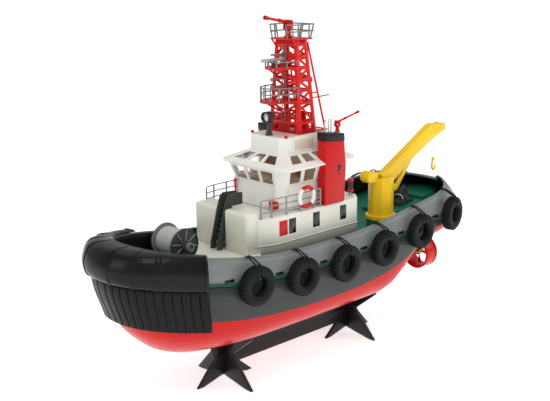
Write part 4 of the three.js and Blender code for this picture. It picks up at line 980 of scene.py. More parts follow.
rib_count = 25
finished(
    bridged([lower_section(a, -1.6 * mm) for a in angles], cap=True), "fender_skirt", "boat",
    skirt_rubber, ["bow_fender_lower"], smooth=50,
)
rib_step = 2 * fender_end / rib_count


def rib(k):
    a0 = -fender_end + rib_step * k + rib_step * 0.05
    a1 = a0 + rib_step * 0.90
    return bridged([lower_section(a0 + (a1 - a0) * i / 3) for i in range(4)], cap=True)


ribs = [refined(rib(k), 0.8 * mm, 2, 40) for k in range(rib_count)]
finished(joined_mesh(ribs), "fender_ribs", "boat", skirt_rubber, smooth=50)
print("ribs", rib_count)

# %% [markdown]
# Twelve tyres hang over the side. A model tyre has a rounded carcass, raised blocks round the tread
# and a bead at the hole. One is made on its own axis: a spun carcass plus a ring of tread blocks,
# then copied to each place and turned to the hull's direction there. Its chain is a string of small
# beads that runs from inside the tyre's hole up over the wall's top.

# %% Tyres and chains
bead_radius = 1.15 * mm
bead_pitch = 2.1 * mm


def tyre(node):
    low, high = (Vector(c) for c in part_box(node))
    side = 1 if low.y > 0 else -1
    centre = (low + high) / 2
    _, along = wall_frame(centre.x, side, 0.0)
    outward = Vector((-along.y, along.x, 0)) * (1 if side > 0 else -1)
    r, hole, w = 23 * mm, 11.2 * mm, 7 * mm
    half = [
        (hole, -0.55 * w), (hole + 1.1 * mm, -0.8 * w), (r - 9 * mm, -0.94 * w), (r - 5.5 * mm, -w),
        (r - 2.8 * mm, -0.9 * w), (r - 1.2 * mm, -0.62 * w), (r - 0.9 * mm, -0.3 * w),
        (r - 0.8 * mm, 0),
    ]
    profile = half + [(a, -b) for a, b in reversed(half[:-1])]
    body = turned(profile + [half[0]], "y", (0, 0, 0), 56)
    parts = [body]
    blocks = 30
    for k in range(blocks):
        for row, y0, y1 in ((0, -0.66 * w, -0.06 * w), (1, 0.06 * w, 0.66 * w)):
            lug = block(r - 2.2 * mm, r - 0.05 * mm, y0, y1, -1.55 * mm, 1.55 * mm, 0.3 * mm, 1)
            bmesh.ops.rotate(
                lug, cent=(0, 0, 0),
                matrix=Matrix.Rotation(2 * math.pi * (k + 0.5 * row) / blocks, 3, "Y"),
                verts=lug.verts,
            )
            parts.append(lug)
        for s in (-1, 1):
            shoulder = block(
                r - 5.2 * mm, r - 1.6 * mm, s * 0.70 * w - 0.75 * mm,
                s * 0.70 * w + 0.95 * mm * (s > 0) + 0.75 * mm * (s < 0), -0.8 * mm, 0.8 * mm,
                0.25 * mm, 1,
            )
            bmesh.ops.rotate(
                shoulder, cent=(0, 0, 0),
                matrix=Matrix.Rotation(2 * math.pi * (k + 0.25) / blocks, 3, "Y"),
                verts=shoulder.verts,
            )
            parts.append(shoulder)
    bm = joined_mesh(parts)
    turn = Matrix((along, outward, Vector((0, 0, 1)))).transposed()
    if turn.determinant() < 0:
        turn = Matrix((-along, outward, Vector((0, 0, 1)))).transposed()
    bmesh.ops.transform(bm, matrix=Matrix.Translation(centre) @ turn.to_4x4(), verts=bm.verts)
    piece = finished(bm, node + "_tread", node, tyre_rubber, [node], smooth=35)
    chain_for(node, centre, along, outward, side)
    return piece


def chain_for(node, centre, along, outward, side):
    """Two strands of beads from inside the tyre's hole up over the wall's top."""
    beads = []
    top = top_z(centre.x) + 2.2 * mm
    wall_top, _ = wall_frame(centre.x, side, 1.0)
    for lead in (-1, 1):
        start = centre + along * (lead * 3.0 * mm) + Vector((0, 0, 11.5 * mm)) + outward * 5.5 * mm
        crest = Vector(
            (wall_top.x + along.x * lead * 2 * mm, wall_top.y + along.y * lead * 2 * mm, top)
        )
        crown = centre + along * (lead * 2.5 * mm) + Vector((0, 0, 24.2 * mm)) + outward * 3.0 * mm
        inside = crest - outward * 3.4 * mm - Vector((0, 0, 5.0 * mm))
        path = [
            start, start * 0.5 + crown * 0.5 + outward * 3.4 * mm, crown,
            crown * 0.4 + crest * 0.6 + Vector((0, 0, 1.4 * mm)), crest, inside,
        ]
        for a, b in zip(path, path[1:]):
            n = max(1, round((b - a).length / bead_pitch))
            beads += [ball(a + (b - a) * i / n, bead_radius, 8) for i in range(n)]
    chain = finished(
        joined_mesh(beads), node + "_chain", None, black, smooth=80
    )
    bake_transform(chain)


tyre_nodes = sorted(n for n in frame["nodes"] if n.startswith("tyre_"))
for tyre_node in tyre_nodes:
    tyre(tyre_node)
print("tyres", len(tyre_nodes))

# %% [markdown]
# The deckhouse is a cream moulding with soft corners: a long house, two taller boxes either side of
# the stair and a low platform ahead of them. Each is a prism with rounded edges whose underside is
# pulled to the deck's curve and left open, then thickened, which is how the real lift-off part is
# made.

# %% Deckhouse mouldings
house_low, house_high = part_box("deckhouse")
house_top = 211 * mm
house_half = house_high[1]
house_aft = house_low[0]
house_front = 101.75 * mm
block_front = 116.75 * mm
block_top = house_high[2]
block_half = 48.5 * mm
stair_half = 7.5 * mm
platform_front = house_high[0]
platform_z = 169.5 * mm


def on_deck(bm, lift=0.3 * mm, step=10 * mm):
    """Cuts a prism into stations, drops its lowest points onto the deck and opens the bottom."""
    xs = [v.co.x for v in bm.verts]
    floor_z = min(v.co.z for v in bm.verts)
    n = int((max(xs) - min(xs)) / step)
    for i in range(1, n + 1):
        bmesh.ops.bisect_plane(
            bm, geom=bm.verts[:] + bm.edges[:] + bm.faces[:], plane_co=(min(xs) + i * step, 0, 0),
            plane_no=(1, 0, 0),
        )
    bottom = [
        f for f in bm.faces if f.normal.z < -0.9 and f.calc_center_median().z < floor_z + 1e-5
    ]
    bmesh.ops.delete(bm, geom=bottom, context="FACES")
    for v in bm.verts:
        if v.co.z < floor_z + 1e-5:
            v.co.z = edge_z(v.co.x) + deck_thick + lift
    return bm


def soft_prism(outline, low, high, corner, top):
    """A prism whose upright corners and top rim are rounded."""
    bm = prism(outline, "z", low, high)
    upright = [
        e
        for e in bm.edges if abs(
            e.verts[0].co.z - e.verts[1].co.z
        ) > 1e-4 and e.calc_face_angle(0) > 0.2
    ]
    bmesh.ops.bevel(
        bm, geom=upright, offset=corner, offset_type="OFFSET", segments=4, profile=0.5,
        affect="EDGES", material=-1, clamp_overlap=True,
    )
    rim = [
        e
        for e in bm.edges if e.verts[
            0
        ].co.z > high - 1e-5 and e.verts[1].co.z > high - 1e-5 and e.calc_face_angle(0) > 1
    ]
    bmesh.ops.bevel(
        bm, geom=rim, offset=top, offset_type="OFFSET", segments=4, profile=0.5, affect="EDGES",
        material=-1, clamp_overlap=True,
    )
    return bm


def house_line(grow=0.0):
    port = [
        (house_front + grow, 0),
        (house_front + grow, 50 * mm + grow * 0.5),
        (77.75 * mm + grow * 0.3, house_half + grow),
        (house_aft + 12 * mm, house_half + grow),
        (house_aft - grow, house_half - 13 * mm + grow),
        (house_aft - grow, 0),
    ]
    return port + [(x, -y) for x, y in reversed(port[1:-1])]


house_floor = 120 * mm
main_house = finished(
    on_deck(soft_prism(house_line(), house_floor, house_top, 3.5 * mm, 2.2 * mm)), "house_main",
    "upperworks", cream, ["deckhouse"], smooth=35,
)
modified(main_house, "SOLIDIFY", thickness=1.8 * mm, offset=-1)
for side, word in ((1, "port"), (-1, "starboard")):
    y0, y1 = stair_half, block_half
    line = [
        (house_front - 14 * mm, side * y0), (block_front, side * y0), (block_front, side * y1),
        (house_front - 14 * mm, side * y1),
    ]
    block_piece = finished(
        on_deck(soft_prism(line, house_floor, block_top, 4.5 * mm, 3.6 * mm)),
        "house_block_" + word, "upperworks", cream, smooth=35,
    )
    modified(block_piece, "SOLIDIFY", thickness=1.8 * mm, offset=-1)
platform_port = [
    (platform_front, 0), (platform_front, 44 * mm), (platform_front - 14 * mm, 56 * mm),
    (block_front + 2 * mm, 57.6 * mm), (block_front - 20 * mm, 54 * mm), (block_front - 20 * mm, 0),
]
platform_line = platform_port + [(x, -y) for x, y in reversed(platform_port[1:-1])]
platform_piece = finished(
    on_deck(soft_prism(platform_line, house_floor, platform_z, 5 * mm, 1.6 * mm)),
    "foredeck_platform", "upperworks", cream, smooth=35,
)
modified(platform_piece, "SOLIDIFY", thickness=1.8 * mm, offset=-1)
print("deckhouse pieces made")

# %% [markdown]
# A joint line runs round the house two thirds of the way down, where two mouldings meet. Its groove
# is a thin strip coloured as painted shade that stands a hair proud, with a small lip above it to
# catch the light.

# %% Joint line and lip
def hoop(outline, low, high, grow):
    """A thin closed band round an outline."""
    bm = bmesh.new()
    a = loop_of(bm, [Vector((x, y, low)) for x, y in outline(grow)])
    b = loop_of(bm, [Vector((x, y, high)) for x, y in outline(grow)])
    bmesh.ops.bridge_loops(bm, edges=a + b)
    bmesh.ops.recalc_face_normals(bm, faces=bm.faces)
    return bm


# The strip's near-black colour is painted shade of the groove, not the plastic's own colour.
groove_painted_shade = moulded("seam_shadow", (0.035, 0.035, 0.03), 0.7, (0.5, 0.7))
seam = finished(
    hoop(house_line, 176.9 * mm, 177.8 * mm, 0.12 * mm), "house_seam", "upperworks", groove_painted_shade,
    smooth=0,
)
modified(seam, "SOLIDIFY", thickness=0.5 * mm, offset=-1)
lip = finished(
    hoop(house_line, 177.7 * mm, 178.7 * mm, 0.45 * mm), "house_lip", "upperworks", cream,
    smooth=0,
)
modified(lip, "SOLIDIFY", thickness=0.9 * mm, offset=-1)
softened(lip, 0.25 * mm, 2)

# %% Side windows and doors
frame_cream = white
pane_black = moulded("window_black", (0.010, 0.010, 0.012), 0.8, (0.08, 0.16), 300, 0.00001, 0.5)


def side_pane(x0, x1, z0, z1, side, material, name, y=None, depth=0.5 * mm):
    """A window sticker's pane with a raised frame round it, on a side wall."""
    wall_y = house_half if y is None else y
    a, b = sorted((side * (wall_y - 0.4 * mm), side * (wall_y + depth)))
    pane = block(x0, x1, a, b, z0, z1, 0.3 * mm)
    finished(pane, name, "upperworks", material)
    a, b = sorted((side * (wall_y - 0.4 * mm), side * (wall_y + depth * 0.9)))
    t = 0.9 * mm
    bars = [
        block(x0 - t, x1 + t, a, b, z1, z1 + t, 0.2 * mm),
        block(x0 - t, x1 + t, a, b, z0 - t, z0, 0.2 * mm),
        block(x0 - t, x0, a, b, z0, z1, 0.2 * mm), block(x1, x1 + t, a, b, z0, z1, 0.2 * mm),
    ]
    finished(joined_mesh(bars), name + "_frame", "upperworks", frame_cream)


window_spans = [
    (60.7, 74.2, red), (46.8, 58.6, pane_black), (6.8, 18.4, pane_black), (-40.4, -28.9, pane_black)
]
for side, word in ((1, "port"), (-1, "starboard")):
    for k, (x0, x1, material) in enumerate(window_spans):
        side_pane(
            x0 * mm, x1 * mm, 187.0 * mm, 205.5 * mm, side, material, f"house_window_{word}_{k + 1}"
        )


def aft_door(y0, y1, z0, z1, name, x):
    slab = block(x - 1.1 * mm, x + 0.6 * mm, y0, y1, z0, z1, 0.7 * mm)
    hinge_bars = [
        tube_between(
            (x - 1.2 * mm, y0 + 0.6 * mm, z), (x - 1.2 * mm, y0 + 0.6 * mm, z + 3 * mm), 0.7 * mm, 8
        )
        for z in (z0 + 4 * mm, z1 - 7 * mm)
    ]
    knob = [
        tube_between(
            (x - 1.2 * mm, y1 - 2 * mm, (z0 + z1) / 2), (x - 2.8 * mm, y1 - 2 * mm, (z0 + z1) / 2),
            0.6 * mm, 8,
        )
    ]
    finished(
        joined_mesh([slab] + hinge_bars + knob), name, "upperworks", white
    )
    port_hole = turned(
        [
            (0, -1.7 * mm), (2.6 * mm, -1.7 * mm), (3.0 * mm, -1.3 * mm), (3.0 * mm, -0.8 * mm),
            (0, -0.8 * mm),
        ],
        "x", (x, (y0 + y1) / 2, z1 - 7 * mm), 24,
    )
    finished(port_hole, name + "_light", "upperworks", pane_black)


aft_door(-9 * mm, 7 * mm, 166 * mm, 200 * mm, "aft_door", house_aft)
for k, y in enumerate((-32 * mm, -20 * mm, 20 * mm, 32 * mm)):
    hole = turned(
        [
            (0, -1.0 * mm), (3.0 * mm, -1.0 * mm), (3.6 * mm, -0.5 * mm), (3.6 * mm, 0.4 * mm),
            (0, 0.4 * mm),
        ],
        "x", (house_aft, y, 194 * mm), 24,
    )
    finished(hole, f"aft_porthole_{k + 1}", "upperworks", pane_black)
print("windows and doors made")

# %% [markdown]
# The stair is a one-piece dark moulding: two broad cheeks that lean back, bend over the boxes' top
# edge and end in a panel on the house roof, with treads between. The cheeks are prisms with
# softened edges.

# %% Stair
step_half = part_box("stairs")[1][1]
cheek_line = [
    (118.5 * mm, platform_z + 0.3 * mm),
    (126.5 * mm, platform_z + 0.3 * mm),
    (126.2 * mm, platform_z + 9 * mm),
    (124.0 * mm, platform_z + 16 * mm),
    (114.5 * mm, block_top + 1 * mm),
    (110.5 * mm, block_top + 13 * mm),
    (106.0 * mm, block_top + 16.6 * mm),
    (86.0 * mm, block_top + 15.6 * mm),
    (86.0 * mm, block_top + 1.2 * mm),
    (102.4 * mm, block_top + 1.2 * mm),
    (104.5 * mm, block_top - 1 * mm),
    (113.5 * mm, platform_z + 16 * mm),
    (118.0 * mm, platform_z + 9 * mm),
]
cheeks = [
    refined(
        prism(
            cheek_line, "y",
            s * step_half - (0.8 * mm if s > 0 else -0.0 * mm) - 0.8 * mm * (s > 0),
            s * step_half + (1.6 * mm if s < 0 else 0),
        ),
        0.7 * mm, 3, 20,
    )
    for s in (1, -1)
]
treads = []
for i in range(8):
    t = i / 7
    z = platform_z + 4 * mm + (block_top - 2 * mm - platform_z - 4 * mm) * t
    x = 123.0 * mm + (110.5 * mm - 123.0 * mm) * t
    treads.append(
        block(x - 8 * mm, x, -step_half + 1 * mm, step_half - 1 * mm, z, z + 1.3 * mm, 0.4 * mm)
    )
landing = block(
    87 * mm, 107 * mm, -step_half + 1 * mm, step_half - 1 * mm, block_top + 2 * mm,
    block_top + 3.4 * mm, 0.5 * mm,
)
finished(
    joined_mesh(cheeks + treads + [landing]), "stair", "upperworks", dark_grey, ["stairs"],
)
print("stair made")

# %% [markdown]
# The wheelhouse narrows to cut corners and its windows lean outwards, as on a real bridge. Each
# side is a panel divided into cells: sill, header, posts and the open panes, whose cells are left
# out. The panels share their edges, so one Solidify gives the whole wall its thickness and the
# openings depth.

# %% Wheelhouse walls
_, wheel_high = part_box("wheelhouse")
wheel_fore, wheel_aft, wheel_half = 57.75 * mm, -52.25 * mm, 44 * mm
sill_z, eave_z = 242 * mm, wheel_high[2]
lean = 7 * mm
cut = 8 * mm


def corners(fore, aft, half, cut_by):
    """Eight corners of a rectangle with cut corners, from the port end of the front round to port."""
    return [
        Vector((fore, half - cut_by, 0)), Vector((fore, -half + cut_by, 0)),
        Vector((fore - cut_by, -half, 0)), Vector((aft + cut_by, -half, 0)),
        Vector((aft, -half + cut_by, 0)), Vector((aft, half - cut_by, 0)),
        Vector((aft + cut_by, half, 0)), Vector((fore - cut_by, half, 0)),
    ]


def at_height(points, z):
    return [Vector((p.x, p.y, z)) for p in points]


def panel(bm, low_a, low_b, high_a, high_b, columns, rows, open_cells=()):
    """Adds a wall panel cut into cells; open_cells are left out. Columns and rows are fractions."""
    grid = []
    for r in rows:
        a, b = low_a.lerp(high_a, r), low_b.lerp(high_b, r)
        grid.append([bm.verts.new(a.lerp(b, c)) for c in columns])
    for i in range(len(rows) - 1):
        for j in range(len(columns) - 1):
            if (i, j) not in open_cells:
                bm.faces.new((grid[i][j], grid[i][j + 1], grid[i + 1][j + 1], grid[i + 1][j]))


def window_wall(low, high, layouts, rows):
    """Panels round a ring of corners; layouts[k] is (columns, open columns) for side k."""
    bm = bmesh.new()
    n = len(low)
    for k in range(n):
        columns, panes = layouts.get(k, ([0, 1], []))
        panel(
            bm, low[k], low[(k + 1) % n], high[k], high[(k + 1) % n], columns, rows,
            {(1, j) for j in panes},
        )
    bmesh.ops.remove_doubles(bm, verts=bm.verts, dist=1e-6)
    bmesh.ops.recalc_face_normals(bm, faces=bm.faces)
    return bm


def even_panes(count, edge, post):
    """Column fractions for a row of equal panes with posts between and wider posts at the ends."""
    pane = (1 - 2 * edge - (count - 1) * post) / count
    columns, opens, at = [0.0, edge], [], edge
    for i in range(count):
        opens.append(len(columns) - 1)
        at += pane
        columns.append(at)
        if i < count - 1:
            at += post
            columns.append(at)
    columns.append(1.0)
    return columns, opens


foot_ring = corners(wheel_fore, wheel_aft, wheel_half, cut)
eave_ring = corners(wheel_fore + lean, wheel_aft - lean, wheel_half + lean, cut + 2 * mm)
side_columns, side_opens = even_panes(4, 0.05, 0.055)
layouts = {
    0: even_panes(3, 0.045, 0.06), 2: (side_columns, side_opens), 4: even_panes(3, 0.06, 0.08),
    6: (side_columns, side_opens),
}
leaning = window_wall(
    at_height(foot_ring, sill_z), at_height(eave_ring, eave_z), layouts, [0, 0.06, 0.86, 1]
)
upright = window_wall(
    at_height(foot_ring, house_top + 0.3 * mm), at_height(foot_ring, sill_z), {}, [0, 1]
)
walls_bm = joined_mesh([leaning, upright])
bmesh.ops.remove_doubles(walls_bm, verts=walls_bm.verts, dist=1e-6)
walls = finished(
    walls_bm, "wheelhouse_walls", "upperworks", white, ["wheelhouse"], smooth=25
)
modified(walls, "SOLIDIFY", thickness=1.8 * mm, offset=-1, use_even_offset=True)
softened(walls, 0.35 * mm, 2, 40)
print("wheelhouse walls", len(walls.data.polygons))

# %% [markdown]
# Clear panes sit just inside the posts. The glazing is thin clear plastic: almost fully
# transmitting, with a trace of warm tint, and smooth enough to show the lights as it turns.

# %% Glazing and the room inside
def clear_plastic():
    material, nodes, links = node_material("clear_plastic")
    shader = nodes["Principled BSDF"]
    place = nodes.new("ShaderNodeTexCoord").outputs["Object"]
    links.new(
        wire_colour(nodes, links, place, ((0.90, 0.93, 0.92), (0.96, 0.97, 0.96)), 20),
        shader.inputs["Base Color"],
    )
    wire_gloss(nodes, links, place, shader, 0.02, 0.07, 60)
    shader.inputs["Transmission Weight"].default_value = 1.0
    shader.inputs["IOR"].default_value = 1.1
    shader.inputs["Alpha"].default_value = 0.22
    return material


clear = clear_plastic()
inset = 2.3 * mm
glass_low = at_height(
    corners(wheel_fore - inset, wheel_aft + inset, wheel_half - inset, cut - 1 * mm),
    sill_z + 0.4 * mm,
)
glass_high = at_height(
    corners(
        wheel_fore + lean - inset, wheel_aft - lean + inset, wheel_half + lean - inset, cut + 1 * mm
    ),
    eave_z - 0.6 * mm,
)
glazing = finished(
    window_wall(glass_low, glass_high, {}, [0, 1]), "glazing", "upperworks", clear,
    ["wheelhouse_glazing"], smooth=0,
)
modified(glazing, "SOLIDIFY", thickness=0.6 * mm, offset=-1)

tan = moulded("warm_lining", (0.86, 0.72, 0.55), 0.88, (0.45, 0.6), 400, 0.00008)
wood_tan = moulded("console_tan", (0.62, 0.44, 0.29), 0.75, (0.35, 0.5), 250, 0.00008, drift=90)
room = [
    block(
        wheel_aft + 5 * mm, wheel_fore - 5 * mm, -wheel_half + 4 * mm, wheel_half - 4 * mm,
        sill_z - 6 * mm, sill_z - 4.6 * mm, 0.3 * mm,
    ),
    block(-14 * mm, -12 * mm, -34 * mm, 34 * mm, sill_z - 5 * mm, eave_z + 10 * mm, 0.5 * mm),
    block(-14 * mm, 30 * mm, -2 * mm, 0 * mm, sill_z - 5 * mm, sill_z + 6 * mm, 0.5 * mm),
]
finished(joined_mesh(room), "wheelhouse_room", "upperworks", tan)
console = [
    block(34 * mm, 50 * mm, -30 * mm, 30 * mm, sill_z - 5 * mm, sill_z + 4.5 * mm, 1 * mm),
    block(14 * mm, 22 * mm, -22 * mm, -14 * mm, sill_z - 5 * mm, sill_z + 1 * mm, 1 * mm),
    block(14 * mm, 22 * mm, 12 * mm, 20 * mm, sill_z - 5 * mm, sill_z + 1 * mm, 1 * mm),
    block(12.5 * mm, 15 * mm, -22 * mm, -14 * mm, sill_z, sill_z + 11 * mm, 1 * mm),
    block(12.5 * mm, 15 * mm, 12 * mm, 20 * mm, sill_z, sill_z + 11 * mm, 1 * mm),
]
finished(joined_mesh(console), "console_and_seats", "upperworks", wood_tan)
wheel_ring = [
    Vector((31.5 * mm, 7 * mm * math.cos(a), sill_z + 8 * mm + 7 * mm * math.sin(a)))
    for a in [2 * math.pi * k / 24 for k in range(24)]
]
helm = [bent_tube(wheel_ring, 0.7 * mm, 6, closed=True)]
helm += [
    tube_between(
        (31.5 * mm, 9 * mm * math.cos(a), sill_z + 8 * mm + 9 * mm * math.sin(a)),
        (31.5 * mm, -9 * mm * math.cos(a), sill_z + 8 * mm - 9 * mm * math.sin(a)), 0.5 * mm, 6,
    )
    for a in (0, math.pi / 3, 2 * math.pi / 3)
]
finished(joined_mesh(helm), "helm", "upperworks", wood_tan)
signal_box = block(-11 * mm, -4 * mm, 6 * mm, 13 * mm, sill_z - 4 * mm, sill_z + 14 * mm, 0.8 * mm)
finished(signal_box, "cabin_locker", "upperworks", red)
print("room furnished")

# %% [markdown]
# The roof is a wide visor with a thin edge, four sloping sides with skylights in them, and a tall
# box on top that carries the mast. It is the same kind of panelled wall, three storeys of it, with
# a cap.

# %% Roof
roof_low, roof_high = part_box("wheelhouse_roof")
visor_z = roof_low[2]
box_low, box_top = 276 * mm, roof_high[2]
box_fore, box_aft, box_half = 43.75 * mm, -40.25 * mm, 33 * mm
visor_ring = corners(roof_high[0], roof_low[0], roof_high[1], 11 * mm)
roof_box_ring = corners(box_fore, box_aft, box_half, 7 * mm)
sky_side, sky_opens = even_panes(4, 0.06, 0.07)
sky_layouts = {0: even_panes(3, 0.05, 0.07), 2: (sky_side, sky_opens), 6: (sky_side, sky_opens)}
slope = window_wall(
    at_height(visor_ring, visor_z + 1.6 * mm), at_height(roof_box_ring, box_low), sky_layouts,
    [0, 0.34, 0.90, 1],
)
roof_walls = window_wall(
    at_height(roof_box_ring, box_low),
    at_height(corners(box_fore - 1 * mm, box_aft + 1 * mm, box_half - 1 * mm, 7 * mm), box_top), {},
    [0, 1],
)
edge_walls = window_wall(
    at_height(visor_ring, visor_z), at_height(visor_ring, visor_z + 1.6 * mm), {}, [0, 1]
)
roof_bm = joined_mesh([slope, roof_walls, edge_walls])
bmesh.ops.remove_doubles(roof_bm, verts=roof_bm.verts, dist=1e-6)
top_edges = [
    e for e in roof_bm.edges if e.is_boundary and min(v.co.z for v in e.verts) > box_top - 1e-5
]
bmesh.ops.contextual_create(roof_bm, geom=top_edges)
bmesh.ops.recalc_face_normals(roof_bm, faces=roof_bm.faces)
roof = finished(
    roof_bm, "roof", "upperworks", white, ["wheelhouse_roof"], smooth=20
)
modified(roof, "SOLIDIFY", thickness=1.5 * mm, offset=-1, use_even_offset=True)
softened(roof, 0.4 * mm, 2, 30)
under = window_wall(
    at_height(
        corners(
            wheel_fore + lean - 1 * mm, wheel_aft - lean + 1 * mm, wheel_half + lean - 1 * mm,
            cut + 2 * mm,
        ),
        eave_z - 0.2 * mm,
    ),
    at_height(
        corners(roof_high[0] - 0.6 * mm, roof_low[0] + 0.6 * mm, roof_high[1] - 0.6 * mm, 11 * mm),
        visor_z + 0.5 * mm,
    ),
    {}, [0, 1],
)
soffit = finished(under, "roof_soffit", "upperworks", white, smooth=0)
modified(soffit, "SOLIDIFY", thickness=0.7 * mm, offset=0)
print("roof faces", len(roof.data.polygons))

# %% Sky panes and roof box details
pane_low = [
    p.lerp(q, 0.30) - Vector((0, 0, 1.6 * mm))
    for p, q in zip(at_height(visor_ring, visor_z + 1.6 * mm), at_height(roof_box_ring, box_low))
]
pane_high = [
    p.lerp(q, 0.95) - Vector((0, 0, 1.6 * mm))
    for p, q in zip(at_height(visor_ring, visor_z + 1.6 * mm), at_height(roof_box_ring, box_low))
]
sky_glass = finished(
    window_wall(pane_low, pane_high, {}, [0, 1]), "skylight_panes", "upperworks", clear,
    smooth=0,
)
modified(sky_glass, "SOLIDIFY", thickness=0.5 * mm, offset=-1)
for side, word in ((1, "port"), (-1, "starboard")):
    y0, y1 = sorted((side * (box_half - 1.6 * mm), side * (box_half + 0.15 * mm)))
    # The niche is a flat plate a hair proud of the wall, not a recess: its tan is the lining seen
    # through the open wall, darkened as painted shade of the recess.
    niche_shade_plate = block(-8 * mm, 24 * mm, y0, y1, box_low + 3.5 * mm, box_top - 4.5 * mm, 0.5 * mm)
    finished(
        niche_shade_plate, "roof_niche_" + word, "upperworks",
        moulded("niche_" + word, (0.70, 0.62, 0.50), 0.93, (0.35, 0.5), 500, 0.00005),
    )
    lamp_y = side * (box_half - 2.5 * mm)
    lamp = [
        turned(
            [(0, 0), (2.2 * mm, 0), (2.2 * mm, 1.8 * mm), (1.5 * mm, 3.0 * mm), (0, 3.4 * mm)], "z",
            (36 * mm, lamp_y, box_top - 0.2 * mm), 20,
        )
    ]
    finished(joined_mesh(lamp), "side_lamp_" + word, "upperworks", red, smooth=50)
print("roof details made")

# %% [markdown]
# Two flat funnels stand against the wheelhouse: red slabs that taper near the top, with a black cap
# band, a small dark grille and three bright exhaust pipes that curl out of the top.

# %% Funnels
_, funnel_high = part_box("funnel_port")
fun_fore, fun_aft = -0.25 * mm, -34.25 * mm
fun_knee = house_top + 42 * mm
fun_top, fun_top_aft = funnel_high[2], funnel_high[2] - 4 * mm
band_drop = 10 * mm


def funnel_line(low_part, grow=0.0):
    """Side outline below or above the band's lower edge."""
    front_split = (fun_fore + grow, fun_top - band_drop)
    share = (fun_top_aft - band_drop - fun_knee) / (fun_top_aft - fun_knee)
    aft_x = (fun_aft - 3 * mm) + 4 * mm * share
    aft_split = (aft_x - grow, fun_top_aft - band_drop)
    if low_part:
        return [
            (fun_aft, house_top + 0.3 * mm), (fun_fore, house_top + 0.3 * mm), front_split,
            aft_split, (fun_aft - 3 * mm, fun_knee),
        ]
    return [
        aft_split, front_split, (fun_fore + grow, fun_top), (fun_aft + 1 * mm - grow, fun_top_aft)
    ]


for side, word in ((1, "port"), (-1, "starboard")):
    y0, y1 = sorted((side * 47 * mm, side * 61 * mm))
    node_name = "funnel_" + word
    finished(
        refined(prism(funnel_line(True), "y", y0, y1), 1.3 * mm, 3, 20), "funnel_body_" + word,
        "upperworks", red, [node_name],
    )
    finished(
        refined(
            prism(funnel_line(False, 0.35 * mm), "y", y0 - 0.35 * mm, y1 + 0.35 * mm), 1.1 * mm, 3,
            20,
        ),
        "funnel_band_" + word, "upperworks", black,
    )
    face_y = side * 61 * mm
    a, b = sorted((face_y - side * 0.3 * mm, face_y + side * 0.55 * mm))
    grille = [
        block(-27.5 * mm, -22.5 * mm, a, b, 250.5 * mm, 258.5 * mm, 0.3 * mm),
        block(-26 * mm, -24 * mm, a, b, 246 * mm, 247.6 * mm, 0.3 * mm),
    ]
    finished(
        joined_mesh(grille), "funnel_grille_" + word, "upperworks", pane_black
    )
    pipes = []
    for k, x in enumerate((-10 * mm, -15.5 * mm, -21 * mm)):
        if side > 0 and k == 2:
            x = -18.5 * mm
        base_z = fun_top - 2.5 * mm
        centre_y = side * (50 + k * 1.2) * mm
        curl = [
            (x, centre_y, base_z), (x, centre_y, base_z + 6 * mm),
            (x - 0.8 * mm, centre_y - side * 0.8 * mm, base_z + 10 * mm),
            (x - 2.6 * mm, centre_y - side * 1.8 * mm, base_z + 13.5 * mm),
            (x - 4.6 * mm, centre_y - side * 2.6 * mm, base_z + 15.5 * mm),
        ]
        pipes.append(bent_tube(curl, 0.95 * mm, 10))
    finished(joined_mesh(pipes), "exhausts_" + word, "upperworks", steel)
print("funnels made")

# %% [markdown]
# The mast is a red moulded lattice: four raking corner posts, ties at each level and flat diagonals
# that zigzag between them, with a plated foot and head. Every member is a flat bar laid between two
# points of the tapering frame, so a short list of levels makes all four sides.

# %% Lattice mast
mast_low, mast_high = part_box("mast_frame")
mast_foot, mast_head = mast_low[2], mast_high[2]
foot_plan = dict(fore=10.75 * mm, aft=-19.25 * mm, half=27 * mm)
head_plan = dict(fore=6.25 * mm, aft=-11.85 * mm, half=18.5 * mm)


def mast_plan(z):
    t = (z - mast_foot) / (mast_head - mast_foot)
    return {k: foot_plan[k] + (head_plan[k] - foot_plan[k]) * t for k in foot_plan}


def mast_corner(z, fx, fy, inset=0.0):
    p = mast_plan(z)
    x = p["fore"] - inset if fx > 0 else p["aft"] + inset
    return Vector((x, fy * (p["half"] - inset), z))


def flat_bar(a, b, width, thick, face_way):
    """A flat bar from a to b, wide across the run and thin along face_way."""
    a, b = Vector(a), Vector(b)
    run = (b - a).normalized()
    thin = (Vector(face_way) - run * run.dot(Vector(face_way))).normalized()
    wide = run.cross(thin)
    bm = bmesh.new()
    bmesh.ops.create_cube(bm, size=1)
    bmesh.ops.scale(bm, vec=((b - a).length, width, thick), verts=bm.verts)
    turn = Matrix((run, wide, thin)).transposed().to_4x4()
    bmesh.ops.transform(bm, matrix=Matrix.Translation((a + b) / 2) @ turn, verts=bm.verts)
    bmesh.ops.bevel(
        bm, geom=bm.edges[:], offset=0.35 * mm, offset_type="OFFSET", segments=2, profile=0.5,
        affect="EDGES", material=-1, clamp_overlap=True,
    )
    return bm


mast_levels = [mast_foot + d * mm for d in (13, 37, 52, 66, 79, 93, 107)]
faces = [
    ((1, 1), (1, -1), (1, 0, 0)), ((-1, 1), (-1, -1), (-1, 0, 0)), ((1, 1), (-1, 1), (0, 1, 0)),
    ((1, -1), (-1, -1), (0, -1, 0)),
]
lattice = []
bar_t = 1.8 * mm
for (ax, ay), (bx, by), way in faces:
    for k, z in enumerate(mast_levels):
        lattice.append(
            flat_bar(
                mast_corner(z, ax, ay, 0.9 * mm), mast_corner(z, bx, by, 0.9 * mm), 3.2 * mm, bar_t,
                way,
            )
        )
        if k + 1 < len(mast_levels):
            up = mast_levels[k + 1]
            first = ((ax, ay), (bx, by)) if k % 2 else ((bx, by), (ax, ay))
            lattice.append(
                flat_bar(
                    mast_corner(z, *first[0], 1.2 * mm), mast_corner(up, *first[1], 1.2 * mm),
                    3.0 * mm, bar_t, way,
                )
            )
